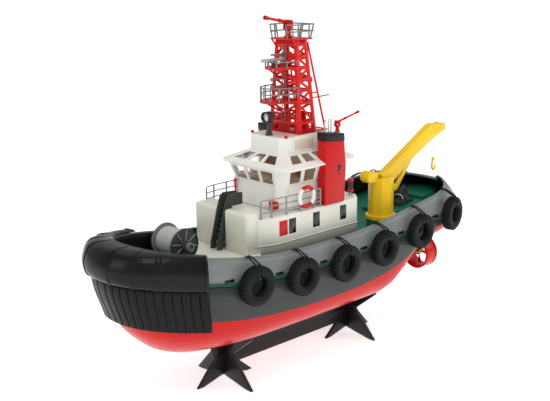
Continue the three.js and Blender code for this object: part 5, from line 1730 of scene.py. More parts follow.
for fx, fy in ((1, 1), (1, -1), (-1, 1), (-1, -1)):
    a, b = mast_corner(mast_foot, fx, fy, 0), mast_corner(mast_head, fx, fy, 0)
    shift_x, shift_y = Vector((-fx * 2.4 * mm, 0, 0)), Vector((0, -fy * 2.4 * mm, 0))
    lattice.append(
        flat_bar(
            a + shift_y + Vector((-fx * 0.9 * mm, 0, 0)),
            b + shift_y + Vector((-fx * 0.9 * mm, 0, 0)), 4.8 * mm, bar_t, (fx, 0, 0),
        )
    )
    lattice.append(
        flat_bar(
            a + shift_x + Vector((0, -fy * 0.9 * mm, 0)),
            b + shift_x + Vector((0, -fy * 0.9 * mm, 0)), 4.8 * mm, bar_t, (0, fy, 0),
        )
    )
finished(
    joined_mesh(lattice), "mast_lattice", "upperworks", lattice_red, ["mast_frame"]
)
print("lattice bars", len(lattice))

# %% [markdown]
# The foot and head of the mast are plated. Cutting rows of small openings in the plates and adding
# six-sided gussets at the joints gives the busy moulded look that a plain truss lacks.

# %% Mast plates and gussets
def mast_plate(z0, z1, corners, thickness, columns, open_cells, rows):
    """A plate with square openings between two of the mast's legs; corners are their signs."""
    bm = bmesh.new()
    foot, head = ([mast_corner(z, *corner, 0.2 * mm) for corner in corners] for z in (z0, z1))
    panel(bm, *foot, *head, columns, rows, open_cells)
    bmesh.ops.solidify(bm, geom=bm.faces[:], thickness=thickness)
    bmesh.ops.recalc_face_normals(bm, faces=bm.faces)
    return bm


plates = []
foot_columns = [0, 0.16, 0.30, 0.70, 0.84, 1]
for fx in (1, -1):
    pair, plate_thick = ((fx, 1), (fx, -1)), 1.5 * mm * fx
    plates.append(
        mast_plate(
            mast_foot, mast_foot + 24 * mm, pair, plate_thick, foot_columns,
            {(1, 1), (1, 3), (3, 1), (3, 3)}, [0, 0.16, 0.44, 0.60, 0.88, 1],
        )
    )
    plates.append(
        mast_plate(mast_head - 7 * mm, mast_head, pair, plate_thick, [0, 1], set(), [0, 1])
    )
for fy in (1, -1):
    pair, plate_thick = ((1, fy), (-1, fy)), -1.5 * mm * fy
    plates.append(
        mast_plate(
            mast_foot, mast_foot + 18 * mm, pair, plate_thick, [0, 0.2, 0.4, 0.6, 0.8, 1],
            {(1, 1), (1, 3)}, [0, 0.3, 0.75, 1],
        )
    )
    plates.append(
        mast_plate(mast_head - 7 * mm, mast_head, pair, plate_thick, [0, 1], set(), [0, 1])
    )
    for k, z in enumerate(mast_levels[1:-1]):
        fx = 1 if k % 2 else -1
        corner_at = mast_corner(z, fx, fy, 0.3 * mm)
        eye = [
            (corner_at.x - fx * (5.2 * mm) + 4.2 * mm * math.cos(a), z + 4.2 * mm * math.sin(a))
            for a in [2 * math.pi * i / 6 for i in range(6)]
        ]
        plates.append(
            prism(
                eye, "y", corner_at.y - 0.8 * mm - 0.7 * mm * fy,
                corner_at.y + 0.8 * mm - 0.7 * mm * fy,
            )
        )
finished(
    joined_mesh([refined(p, 0.25 * mm, 1, 50) for p in plates]), "mast_plates", "upperworks",
    lattice_red,
)

rear = []
for fy in (1, -1):
    rear.append(
        tube_between(
            (-13.5 * mm, fy * 17.5 * mm, mast_head - 3 * mm),
            (-36.5 * mm, fy * 25 * mm, mast_foot + 0.6 * mm), 1.25 * mm, 10,
        )
    )
    rear.append(
        flat_bar(
            (-18 * mm, fy * 25 * mm, mast_foot + 0.9 * mm),
            (-39.5 * mm, fy * 25 * mm, mast_foot + 0.9 * mm), 3.4 * mm, 1.4 * mm, (0, 0, 1),
        )
    )
    rear.append(
        tube_between(
            (-15.5 * mm, fy * 20.6 * mm, mast_foot + 48 * mm),
            (-26.5 * mm, fy * 21.7 * mm, mast_foot + 48 * mm), 0.9 * mm, 8,
        )
    )
    rear.append(
        tube_between(
            (-17 * mm, fy * 22.5 * mm, mast_foot + 42 * mm),
            (-44 * mm, fy * 24 * mm, mast_foot + 43.5 * mm), 0.8 * mm, 8,
        )
    )
rear.append(
    tube_between(
        (-39 * mm, -25 * mm, mast_foot + 1 * mm), (-39 * mm, 25 * mm, mast_foot + 1 * mm), 1.0 * mm,
        8,
    )
)
finished(joined_mesh(rear), "mast_rear_legs", "upperworks", lattice_red)
print("plates", len(plates))

# %% [markdown]
# Two half-round platforms stand out ahead of the mast, each a thin red plate with a raised rim and
# grey guard rails on posts. The rails are bent tubes that follow the plate's edge.

# %% Platforms and guard rails
def half_round(z, reach, half, grow=0.0, n=20):
    x0 = mast_plan(z)["fore"] - 1 * mm
    return [
        Vector((x0 + (reach + grow) * math.cos(a), (half + grow) * math.sin(a), z))
        for a in [-math.pi / 2 + math.pi * i / n for i in range(n + 1)]
    ]


for name, rise, reach, rails, posts in (
    ("lower", 39 * mm, 36 * mm, (9 * mm, 16.5 * mm), 9), ("upper", 79 * mm, 29 * mm, (7.5 * mm,), 7)
):
    z = 296 * mm + rise
    half = mast_plan(z)["half"]
    shape = [(p.x, p.y) for p in half_round(z, reach, half)]
    plate = refined(prism(shape, "z", z, z + 1.8 * mm), 0.4 * mm, 2, 40)
    rim = bent_tube(
        [p + Vector((0, 0, 1.6 * mm)) for p in half_round(z, reach, half, -0.9 * mm)], 0.9 * mm, 8
    )
    struts = [
        flat_bar(
            (mast_plan(z)["fore"], s * 9 * mm, z - 13 * mm),
            (mast_plan(z)["fore"] + reach * 0.72, s * 7 * mm, z + 0.4 * mm), 2.2 * mm, 1.6 * mm,
            (0, 1, 0),
        )
        for s in (1, -1)
    ]
    finished(
        joined_mesh([plate, rim] + struts), "mast_stage_" + name, "upperworks", lattice_red,
    )
    guard = []
    for r in rails:
        guard.append(
            bent_tube(
                [p + Vector((0, 0, 1.8 * mm + r)) for p in half_round(z, reach, half, -1.1 * mm)],
                0.75 * mm, 8,
            )
        )
    line = half_round(z, reach, half, -1.1 * mm, posts - 1)
    for p in line:
        guard.append(
            tube_between(
                p + Vector((0, 0, 1.2 * mm)), p + Vector((0, 0, 1.8 * mm + rails[-1])), 0.8 * mm, 8
            )
        )
        guard.append(ball(p + Vector((0, 0, 2.2 * mm + rails[-1])), 1.0 * mm, 8))
    finished(
        joined_mesh(guard), "mast_guard_" + name, "upperworks", rail_grey
    )

top_low, top_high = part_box("mast_platform")
deck_shape = [
    (top_high[0], top_low[1]), (top_high[0], top_high[1]), (top_low[0], top_high[1]),
    (top_low[0], top_low[1]),
]
top_plate = refined(prism(deck_shape, "z", top_low[2], top_high[2]), 0.6 * mm, 3, 40)
knees = [
    flat_bar(
        (mast_plan(mast_head)["fore"] * 0.9, s * 17 * mm, mast_head - 9 * mm),
        (top_high[0] - 1 * mm, s * 19.5 * mm, top_low[2] + 0.6 * mm), 2 * mm, 1.4 * mm, (0, 1, 0),
    )
    for s in (1, -1)
]
finished(
    joined_mesh([top_plate] + knees), "mast_top_plate", "upperworks", lattice_red,
    ["mast_platform"],
)
cage_x0, cage_x1, cage_y = top_low[0] - 3.5 * mm, top_high[0] + 1.5 * mm, top_high[1] - 0.4 * mm
cage = []
for h in (8 * mm, 16 * mm):
    z = top_high[2] + h
    for s in (1, -1):
        cage.append(
            bent_tube(
                [
                    (cage_x1, s * 9 * mm, z), (cage_x1, s * (cage_y - 2 * mm), z),
                    (cage_x1 - 1.5 * mm, s * cage_y, z), (cage_x0 + 1.5 * mm, s * cage_y, z),
                    (cage_x0, s * (cage_y - 2 * mm), z), (cage_x0, 0, z),
                ],
                0.8 * mm, 8,
            )
        )
post_spots = [(cage_x1, s * y) for s in (1, -1) for y in (9 * mm, cage_y - 1.5 * mm)] + [
    (x, s * cage_y) for s in (1, -1) for x in (cage_x1 - 9 * mm, cage_x0 + 9 * mm)
] + [(cage_x0, s * y) for s in (1, -1) for y in (1.5 * mm, cage_y - 1.5 * mm)]
for x, y in post_spots:
    foot_x = min(max(x, top_low[0] + 1.5 * mm), top_high[0] - 1.2 * mm)
    cage.append(
        tube_between(
            (foot_x, y * 0.96, top_high[2] - 0.4 * mm), (x, y, top_high[2] + 16.5 * mm), 0.9 * mm, 8
        )
    )
finished(joined_mesh(cage), "mast_cage", "upperworks", rail_grey)
print("platforms made")

# %% [markdown]
# A mast carries small fittings: a turning radar bar on a gearbox, a fixed aerial above it, two
# all-round lamps on arms, a loudhailer facing aft and a ladder up the front.

# %% Mast fittings
radar_low, radar_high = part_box("radar_scanner")
radar_x = joint_at["radar_spin"].x
radar_z = radar_low[2]
grey_light = moulded("scanner_grey", (0.42, 0.43, 0.42), 0.85, (0.3, 0.45), 700, 0.00005)
scan = [
    turned(
        [
            (0, 0), (2.9 * mm, 0), (2.9 * mm, 1.6 * mm), (2.1 * mm, 2.2 * mm), (2.1 * mm, 6.2 * mm),
            (0, 6.2 * mm),
        ],
        "z", (radar_x, 0, radar_z), 24,
    ),
    block(
        radar_x - 4 * mm, radar_x + 4 * mm, -2.0 * mm, 2.0 * mm, radar_z + 5.4 * mm,
        radar_z + 7.4 * mm, 0.6 * mm,
    ),
]
finished(
    joined_mesh(scan), "radar_gearbox", "radar_scanner", dark_grey, ["radar_scanner"],
)
scan_bar = block(
    radar_low[0], radar_high[0], -1.7 * mm, 1.7 * mm, radar_z + 7.2 * mm, radar_z + 11 * mm,
    1.1 * mm, 3,
)
finished(scan_bar, "radar_bar", "radar_scanner", grey_light, smooth=60)
fittings = [
    block(
        -4 * mm, 26 * mm, -6.4 * mm, -3.6 * mm, mast_foot + 94.5 * mm, mast_foot + 96.6 * mm,
        0.7 * mm,
    ),
    tube_between(
        (6 * mm, -5 * mm, mast_foot + 80 * mm), (6 * mm, -5 * mm, mast_foot + 95 * mm), 1.2 * mm, 10
    ),
]
for z in (mast_foot + 57 * mm, mast_foot + 66 * mm):
    fittings.append(tube_between((8 * mm, 0, z), (28 * mm, 0, z + 0.5 * mm), 0.7 * mm, 8))
    fittings.append(
        turned(
            [
                (0, -2.2 * mm), (1.9 * mm, -1.9 * mm), (2.3 * mm, 0), (1.9 * mm, 1.9 * mm),
                (0, 2.2 * mm),
            ],
            "z", (29.5 * mm, 0, z + 0.6 * mm), 16,
        )
    )
horn_x = -20 * mm
fittings.append(
    turned(
        [
            (0, 0), (1.1 * mm, 0), (1.5 * mm, -5 * mm), (3.9 * mm, -10 * mm),
            (4.4 * mm, -10.2 * mm), (4.4 * mm, -11 * mm), (0, -9 * mm),
        ],
        "x", (horn_x, 4 * mm, mast_foot + 62 * mm), 24,
    )
)
fittings.append(
    tube_between(
        (-15 * mm, 4 * mm, mast_foot + 62 * mm), (horn_x - 2 * mm, 4 * mm, mast_foot + 62 * mm),
        0.9 * mm, 8,
    )
)
for s in (1, -1):
    fittings.append(
        tube_between(
            (11.2 * mm, s * 2.8 * mm, mast_foot + 13 * mm),
            (8.2 * mm, s * 2.8 * mm, mast_head - 6 * mm), 0.5 * mm, 6,
        )
    )
for i in range(16):
    t = i / 15
    x, z = 11.2 * mm - 3 * mm * t, mast_foot + 16 * mm + (mast_head - mast_foot - 25 * mm) * t
    fittings.append(tube_between((x, -2.8 * mm, z), (x, 2.8 * mm, z), 0.45 * mm, 6))
finished(
    joined_mesh(fittings), "mast_fittings", "upperworks", rail_grey,
    smooth=50,
)
print("fittings", len(fittings))

# %% [markdown]
# A fire monitor is a water cannon: a flanged stem that turns, a yoke, and a barrel that tilts in
# it. The barrel tapers, with collars and a flared mouth. The two on the boat differ only in size,
# so one maker builds both about their joints' own pivots.

# %% Fire monitors
def fire_monitor(prefix, turn_joint, tilt_joint):
    tip_low, tip_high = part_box(prefix + "_nozzle")
    foot = joint_at[turn_joint]
    pivot = joint_at[tilt_joint]
    s = (pivot.z - foot.z) / (17 * mm)
    base = turned(
        [
            (0, 0), (5 * mm * s, 0), (5 * mm * s, 1.4 * mm * s), (3.9 * mm * s, 2.2 * mm * s),
            (3.5 * mm * s, 3.2 * mm * s), (3.3 * mm * s, 8 * mm * s), (4.2 * mm * s, 8.6 * mm * s),
            (4.2 * mm * s, 10.6 * mm * s), (0, 10.6 * mm * s),
        ],
        "z", foot, 32,
    )
    bolts = [
        turned(
            [(0, 0), (0.6 * mm * s, 0), (0.6 * mm * s, 0.5 * mm * s), (0, 0.6 * mm * s)], "z",
            foot + Vector((4.2 * mm * s * math.cos(a), 4.2 * mm * s * math.sin(a), 1.3 * mm * s)),
            6,
        )
        for a in [math.pi / 3 * k for k in range(6)]
    ]
    cheek = []
    for side in (1, -1):
        y0, y1 = sorted((foot.y + side * 3.45 * mm * s, foot.y + side * 5.1 * mm * s))
        arch = [
            (foot.x - 3.5 * mm * s, foot.z + 9 * mm * s),
            (foot.x + 3.5 * mm * s, foot.z + 9 * mm * s),
        ]
        arch += [
            (foot.x + 3.3 * mm * s * math.cos(a), pivot.z + 3.0 * mm * s * math.sin(a))
            for a in [math.pi * k / 8 for k in range(9)]
        ]
        cheek.append(refined(prism(arch, "y", y0, y1), 0.3 * mm, 2, 40))
        a, b = sorted((foot.y + side * 5.0 * mm * s, foot.y + side * 5.5 * mm * s))
        cheek.append(tube_between((pivot.x, a, pivot.z), (pivot.x, b, pivot.z), 1.5 * mm * s, 14))
    finished(
        joined_mesh([base] + bolts + cheek), prefix + "_stem", prefix + "_head", red,
        [prefix + "_head"], smooth=45,
    )
    fore = tip_high[0] - pivot.x > pivot.x - tip_low[0]
    tip = Vector((tip_high[0] if fore else tip_low[0], pivot.y, tip_high[2] - 2.7 * mm * s))
    way = (tip - pivot).normalized()
    long = (tip - pivot).length - 0.3 * mm
    profile = [
        (0, -6.6), (1.3, -6.6), (1.9, -6.0), (2.1, -4.4), (2.1, -2.6), (2.9, -1.8), (3.1, 0),
        (2.9, 1.8), (2.3, 2.6), (2.0, 4.5),
    ]
    profile = [(r * mm * s, h * mm * s) for r, h in profile]
    profile += [
        (1.9 * mm * s, long * 0.35), (2.3 * mm * s, long * 0.355), (2.3 * mm * s, long * 0.40),
        (1.7 * mm * s, long * 0.405), (1.4 * mm * s, long * 0.80), (2.0 * mm * s, long * 0.84),
        (2.5 * mm * s, long * 0.98), (2.5 * mm * s, long), (1.6 * mm * s, long),
        (1.2 * mm * s, long * 0.93), (0, long * 0.93),
    ]
    barrel = turned(profile, "z", (0, 0, 0), 24)
    spin = way.to_track_quat("Z", "Y").to_matrix().to_4x4()
    bmesh.ops.transform(barrel, matrix=Matrix.Translation(pivot) @ spin, verts=barrel.verts)
    finished(
        barrel, prefix + "_barrel", prefix + "_nozzle", red, [prefix + "_nozzle"],
        smooth=40,
    )
    print(prefix, "scale", round(s, 2))


fire_monitor("mast_monitor", "mast_monitor_turn", "mast_monitor_tilt")
fire_monitor("funnel_monitor", "funnel_monitor_turn", "funnel_monitor_tilt")

# %% [markdown]
# The searchlight is a ribbed drum on a stem, with a bright reflector behind a clear lens. Its lens
# is its own piece because it needs the clear finish.

# %% Searchlight
lamp_at = joint_at["searchlight_turn"]
drum_z = lamp_at.z + 22 * mm
drum_x = lamp_at.x - 6 * mm
stem = turned(
    [
        (0, 0), (4.5 * mm, 0), (4.5 * mm, 1.4 * mm), (3.6 * mm, 2.0 * mm), (3.1 * mm, 6 * mm),
        (3.3 * mm, 15.4 * mm), (0, 15.4 * mm),
    ],
    "z", lamp_at, 24,
)
drum = turned(
    [
        (0, 0), (3.6 * mm, 0.2 * mm), (5.6 * mm, 1.6 * mm), (6.5 * mm, 3.2 * mm),
        (6.5 * mm, 9.8 * mm), (6.9 * mm, 10.2 * mm), (6.9 * mm, 12.8 * mm), (6.1 * mm, 12.9 * mm),
        (6.0 * mm, 10.4 * mm), (0, 9.6 * mm),
    ],
    "x", (drum_x, 0, drum_z), 32,
)
ribs_on = [
    turned(
        [
            (6.3 * mm, x), (6.85 * mm, x + 0.2 * mm), (6.85 * mm, x + 0.7 * mm),
            (6.3 * mm, x + 0.9 * mm), (6.3 * mm, x),
        ],
        "x", (drum_x, 0, drum_z), 32,
    )
    for x in (3.6 * mm, 5.4 * mm, 7.2 * mm)
]
yoke = [
    flat_bar(
        (lamp_at.x, s * 6.2 * mm, drum_z - 6.5 * mm), (lamp_at.x, s * 6.8 * mm, drum_z + 1.2 * mm),
        3.2 * mm, 0.9 * mm, (0, 1, 0),
    )
    for s in (1, -1)
]
finished(
    joined_mesh([stem, drum] + ribs_on + yoke), "searchlight_body", "searchlight", dark_grey,
    ["searchlight"], smooth=45,
)
finished(
    turned(
        [
            (0, 10.9 * mm), (4 * mm, 10.6 * mm), (6.0 * mm, 10.2 * mm), (6.0 * mm, 9.9 * mm),
            (0, 9.9 * mm),
        ],
        "x", (drum_x, 0, drum_z), 32,
    ),
    "searchlight_reflector", "searchlight", steel, smooth=60,
)
finished(
    turned(
        [
            (0, 12.7 * mm), (3.5 * mm, 12.4 * mm), (6.0 * mm, 11.8 * mm), (6.0 * mm, 11.4 * mm),
            (0, 12.0 * mm),
        ],
        "x", (drum_x, 0, drum_z), 32,
    ),
    "searchlight_lens", "searchlight", clear, smooth=60,
)
print("searchlight made")

# %% [markdown]
# The house carries thin guard rails: three bars on posts with a rounded forward corner, ending in a
# bent loop beside each funnel. A life ring with four bands hangs inboard of each rail, so each
# side's rails and ring are built together and mirrored by a sign.

# %% Rails and life rings
house_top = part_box("rail_port")[0][2]
rail_pale = moulded("rail_pale_grey", (0.30, 0.31, 0.31), 0.85, (0.32, 0.45), 900, 0.00003)
for side, suffix in ((1, "port"), (-1, "starboard")):
    low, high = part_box("rail_" + suffix)
    outer = max(abs(low[1]), abs(high[1])) - 0.9 * mm
    inner = min(abs(low[1]), abs(high[1])) + 0.9 * mm
    fore_x, aft_x = high[0] - 0.9 * mm, low[0] + 0.9 * mm
    spots = [
        (fore_x, inner), (fore_x - 14 * mm, outer - 2 * mm), (fore_x - 36 * mm, outer),
        (fore_x - 58 * mm, outer), (fore_x - 81 * mm, outer), (aft_x, outer),
    ]
    rise = high[2] - low[2] - 1.0 * mm
    bars = []
    for part in (0.3, 0.64, 1.0):
        z = house_top + rise * part
        track = [(x, side * y, z) for x, y in spots]
        if part == 1.0:
            track = [
                (fore_x, side * inner, z - 3.2 * mm), (fore_x - 0.4 * mm, side * inner, z - 1 * mm),
                (fore_x - 2 * mm, side * (inner + 0.5 * mm), z),
            ] + track[1:]
        bars.append(bent_tube(track, 0.75 * mm, 8))
    for k, (x, y) in enumerate(spots):
        bars.append(
            tube_between(
                (x, side * y, house_top),
                (x, side * y, house_top + rise - (3 * mm if k == 0 else 0)), 1.05 * mm, 10,
            )
        )
        bars.append(
            turned(
                [(0, 0), (1.7 * mm, 0), (1.7 * mm, 0.5 * mm), (1.05 * mm, 0.9 * mm), (0, 0.9 * mm)],
                "z", (x, side * y, house_top), 12,
            )
        )
    finished(
        joined_mesh(bars), "rails_" + suffix, "upperworks", rail_pale, ["rail_" + suffix],
        smooth=60,
    )
    loop_y = side * (outer + 2.6 * mm)
    hoop_line = []
    for a in range(9):
        t = math.pi * a / 8
        hoop_line.append(
            (
                12 * mm - 5.5 * mm * math.cos(t) - 0.5 * mm, loop_y,
                house_top + 19 * mm + 4 * mm * math.sin(t),
            )
        )
    hoop_line = [(hoop_line[0][0], loop_y, house_top)] + hoop_line + [
        (hoop_line[-1][0], loop_y, house_top)
    ]
    loop_parts = [bent_tube(hoop_line, 0.9 * mm, 8)]
    for z in (6 * mm, 12 * mm, 17 * mm):
        loop_parts.append(
            tube_between(
                (hoop_line[0][0], loop_y, house_top + z), (hoop_line[-1][0], loop_y, house_top + z),
                0.6 * mm, 8,
            )
        )
    finished(
        joined_mesh(loop_parts), "ladder_loop_" + suffix, "upperworks", rail_pale,
        smooth=60,
    )

    ring_low, ring_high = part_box("life_ring_" + suffix)
    centre = [(ring_low[i] + ring_high[i]) / 2 for i in range(3)]
    thick = (ring_high[1] - ring_low[1]) / 2
    radius = (ring_high[0] - ring_low[0]) / 2 - thick
    arcs = {"white": [], "red": []}
    for k in range(4):
        start = math.pi / 4 + k * math.pi / 2 + 0.12
        line = [
            (
                centre[0] + radius * math.cos(start + math.pi / 2 * i / 10), centre[1],
                centre[2] + radius * math.sin(start + math.pi / 2 * i / 10),
            )
            for i in range(11)
        ]
        arcs["red" if k % 2 == 0 else "white"].append(bent_tube(line, thick * 0.98, 14))
    finished(
        joined_mesh(arcs["white"]), "ring_white_" + suffix, "upperworks", white,
        ["life_ring_" + suffix], smooth=60,
    )
    finished(
        joined_mesh(arcs["red"]), "ring_bands_" + suffix, "upperworks", red,
        smooth=60,
    )
print("rails and rings made")

# %% [markdown]
# Small gear round the house: two red cabinets and a signal lamp on the wheelhouse front, a capped
# canister on a stand beside each funnel, and a life-raft barrel on brackets behind the house.

# %% House gear
for s in (1, -1):
    cabinet = [
        block(
            58.3 * mm, 64.6 * mm, s * 35 * mm - 6 * mm, s * 35 * mm + 6 * mm, house_top + 3 * mm,
            house_top + 12 * mm, 1.3 * mm, 3,
        )
    ]
    cabinet.append(
        block(
            64.2 * mm, 65.2 * mm, s * 35 * mm - 4.2 * mm, s * 35 * mm + 4.2 * mm,
            house_top + 4.6 * mm, house_top + 10.2 * mm, 0.4 * mm,
        )
    )
    if s < 0:
        cabinet.append(
            tube_between(
                (62 * mm, -35 * mm, house_top + 11 * mm), (62 * mm, -35 * mm, house_top + 27 * mm),
                1.0 * mm, 10,
            )
        )
        cabinet += [
            ball((62 * mm, -35 * mm, house_top + z), r, 14)
            for z, r in ((19 * mm, 1.7 * mm), (27.5 * mm, 2.0 * mm))
        ]
    finished(
        joined_mesh(cabinet), "cabinet_" + (side_name(s)), "upperworks", red,
    )
for s in (1, -1):
    at = Vector((-62.5 * mm, s * 45 * mm, house_top))
    posts = [
        tube_between(at + Vector((x, 0, -0.4 * mm)), at + Vector((x, 0, 5 * mm)), 0.8 * mm, 8)
        for x in (-2.6 * mm, 2.6 * mm)
    ]
    posts.append(
        turned(
            [
                (0, 6 * mm), (2.9 * mm, 6 * mm), (3.2 * mm, 8 * mm), (3.2 * mm, 15.5 * mm),
                (2.9 * mm, 17.5 * mm), (0, 17.5 * mm),
            ],
            "z", at, 20,
        )
    )
    posts += [
        turned(
            [
                (3.15 * mm, z), (3.5 * mm, z + 0.3 * mm), (3.5 * mm, z + 0.9 * mm),
                (3.15 * mm, z + 1.2 * mm), (3.15 * mm, z),
            ],
            "z", at, 20,
        )
        for z in (9 * mm, 11.5 * mm, 14 * mm)
    ]
    finished(
        joined_mesh(posts), "canister_body_" + (side_name(s)), "upperworks",
        dark_grey,
    )
    caps = [
        turned(
            [
                (0, z), (3.2 * mm, z), (4.3 * mm, z + 0.8 * mm), (4.3 * mm, z + 2.0 * mm),
                (3.0 * mm, z + 3.4 * mm), (0, z + 3.8 * mm),
            ],
            "z", at, 20,
        )
        for z in (4.6 * mm, 17.2 * mm)
    ]
    finished(
        joined_mesh(caps), "canister_caps_" + (side_name(s)), "upperworks", red,
    )
barrel_x, barrel_z = -66 * mm, house_top + 10.4 * mm
raft = turned(
    [
        (0, -25 * mm), (5 * mm, -24.6 * mm), (8 * mm, -22.5 * mm), (9 * mm, -20 * mm),
        (9 * mm, -1.2 * mm), (9.5 * mm, -0.9 * mm), (9.5 * mm, 0.9 * mm), (9 * mm, 1.2 * mm),
        (9 * mm, 20 * mm), (8 * mm, 22.5 * mm), (5 * mm, 24.6 * mm), (0, 25 * mm),
    ],
    "y", (barrel_x, 0, barrel_z), 40,
)
straps = [
    turned(
        [
            (8.9 * mm, y), (9.35 * mm, y + 0.2 * mm), (9.35 * mm, y + 1.8 * mm),
            (8.9 * mm, y + 2 * mm), (8.9 * mm, y),
        ],
        "y", (barrel_x, 0, barrel_z), 40,
    )
    for y in (-14 * mm, 12 * mm)
]
cradle = [
    block(
        barrel_x - 6 * mm, barrel_x + 6 * mm, y - 1.2 * mm, y + 1.2 * mm, house_top,
        house_top + 4.6 * mm, 0.5 * mm,
    )
    for y in (-13 * mm, 13 * mm)
]
finished(
    joined_mesh([raft] + cradle), "life_raft", "upperworks", cream, smooth=50
)
finished(joined_mesh(straps), "life_raft_straps", "upperworks", rail_pale)
print("house gear made")

# %% [markdown]
# Pieces that already have the right shape keep it: their mesh is copied from the frame, the flat
# faces are merged and every sharp edge is given a small round so that it catches light like moulded
# plastic.

# %% Copying a shape with rounded edges
def remade(node, name, body, material, width=0.5 * mm, segments=2, smooth=35, extra=()):
    bm = bmesh.new()
    bm.from_mesh(frame["nodes"][node].data)
    bmesh.ops.remove_doubles(bm, verts=bm.verts, dist=1e-6)
    bmesh.ops.dissolve_limit(bm, angle_limit=math.radians(1), verts=bm.verts, edges=bm.edges)
    bm = refined(bm, width, segments, 28)
    return finished(
        joined_mesh([bm] + list(extra)), name, body, material, [node], smooth=smooth
    )


# %% [markdown]
# The winch in the bow has two different flanges: the port one is open with eight spokes and a
# hollow grey boss, the other is a plain olive disc. The rope is a lathe shape whose outline is a
# row of small rounds, so it reads as turns of line lying side by side.

# %% Winch
drum_low, drum_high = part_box("winch_drum")
drum_at = joint_at["winch_spin"]
rim = (drum_high[0] - drum_low[0]) / 2
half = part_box("winch_rope")[1][1] + 0.3 * mm
olive = moulded("olive_grey", (0.22, 0.23, 0.19), 0.8, (0.4, 0.55), 600, 0.00006)
hub_grey = moulded("hub_grey", (0.20, 0.21, 0.215), 0.8, (0.35, 0.5), 600, 0.00006)


def flange(side, depth):
    y0, y1, y2 = half, half + 1.0 * mm, half + depth
    outline = [
        (0, y0), (rim - 0.4 * mm, y0), (rim, y0 + 0.4 * mm), (rim, y2 - 0.4 * mm),
        (rim - 0.4 * mm, y2), (rim - 1.1 * mm, y2), (rim - 1.3 * mm, y1), (0, y1),
    ]
    return turned([(r, side * y) for r, y in outline], "y", drum_at, 64)


finished(
    flange(1, 2.3 * mm), "winch_flange_port", "winch_drum", dark_grey, ["winch_drum"],
)
spokes = []
for k in range(8):
    a = math.pi / 4 * k + 0.2
    way = Vector((math.cos(a), 0, math.sin(a)))
    start = drum_at + way * 3.2 * mm + Vector((0, half + 1.5 * mm, 0))
    stop = drum_at + way * (rim - 1 * mm) + Vector((0, half + 1.5 * mm, 0))
    spokes.append(flat_bar(start, stop, 1.7 * mm, 1.1 * mm, way.cross(Vector((0, 1, 0)))))
finished(joined_mesh(spokes), "winch_spokes", "winch_drum", rail_pale)
finished(
    flange(-1, 2.0 * mm), "winch_flange_starboard", "winch_drum", olive
)
boss_far = drum_high[1] + 4 * mm
boss_wide = 5.2 * mm
boss = [
    (0, half + 1.0 * mm), (3.9 * mm, half + 1.0 * mm), (3.9 * mm, half + 4 * mm),
    (3.1 * mm, half + 4.3 * mm), (3.1 * mm, drum_high[1] - 0.6 * mm),
    (boss_wide, drum_high[1] - 0.4 * mm), (boss_wide, boss_far - 0.6 * mm),
    (boss_wide - 0.6 * mm, boss_far), (2.9 * mm, boss_far), (2.7 * mm, boss_far - 3 * mm),
    (0, boss_far - 3 * mm),
]
finished(
    joined_mesh(
        [turned(boss, "y", drum_at, 40), turned([(r, -y) for r, y in boss], "y", drum_at, 40)]
    ),
    "winch_boss", "winch_drum", hub_grey,
)
rope_r = (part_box("winch_rope")[1][0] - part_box("winch_rope")[0][0]) / 2
turns_of_rope = 30
pitch = 2 * (half - 0.4 * mm) / turns_of_rope
rope_line = [(9 * mm, -half + 0.4 * mm)]
for k in range(turns_of_rope):
    for part, lift in ((0.1, 0.0), (0.3, 0.75), (0.5, 1.0), (0.7, 0.75), (0.9, 0.0)):
        across = -half + 0.4 * mm + (k + part) * pitch
        belly = 0.55 * mm * (1 - (across / half) ** 2) + 0.18 * mm * math.sin(k * 2.3)
        rope_line.append((rope_r - 1.0 * mm + belly + 0.4 * mm * lift, across))
rope_line.append((9 * mm, half - 0.4 * mm))
rope_white = moulded("wound_rope", (0.72, 0.75, 0.72), 0.45, (0.7, 0.9), 260, 0.0004, drift=0.5)
finished(
    turned(rope_line, "y", drum_at, 56), "winch_wound_rope", "winch_drum", rope_white,
    ["winch_rope"], smooth=60,
)
remade("winch_frame", "winch_stand", "boat", dark_grey, 0.6 * mm)
print("winch rim", round(rim / mm, 1))

# %% [markdown]
# The bow and stern decks carry mooring bitts, a fairlead with rollers and hatch covers. The towing
# bitt keeps its own outline and gains a bright rolled edge and a shackle loop.

# %% Deck gear
def deck_level(x):
    return edge_z(x) + deck_thick


def bitts(x, y, z, gap, tall, along="y"):
    way = Vector((0, 1, 0)) if along == "y" else Vector((1, 0, 0))
    parts = []
    for s in (1, -1):
        at = Vector((x, y, z)) + way * (s * gap)
        parts.append(
            turned(
                [
                    (0, 0), (2.6 * mm, 0), (2.4 * mm, 0.8 * mm), (2.1 * mm, 1.2 * mm),
                    (2.1 * mm, tall - 2.4 * mm), (2.9 * mm, tall - 1.8 * mm),
                    (2.9 * mm, tall - 0.5 * mm), (2.2 * mm, tall), (0, tall),
                ],
                "z", at, 20,
            )
        )
    middle = Vector((x, y, z + tall * 0.55))
    parts.append(
        tube_between(middle - way * (gap + 3.6 * mm), middle + way * (gap + 3.6 * mm), 1.2 * mm, 12)
    )
    return parts


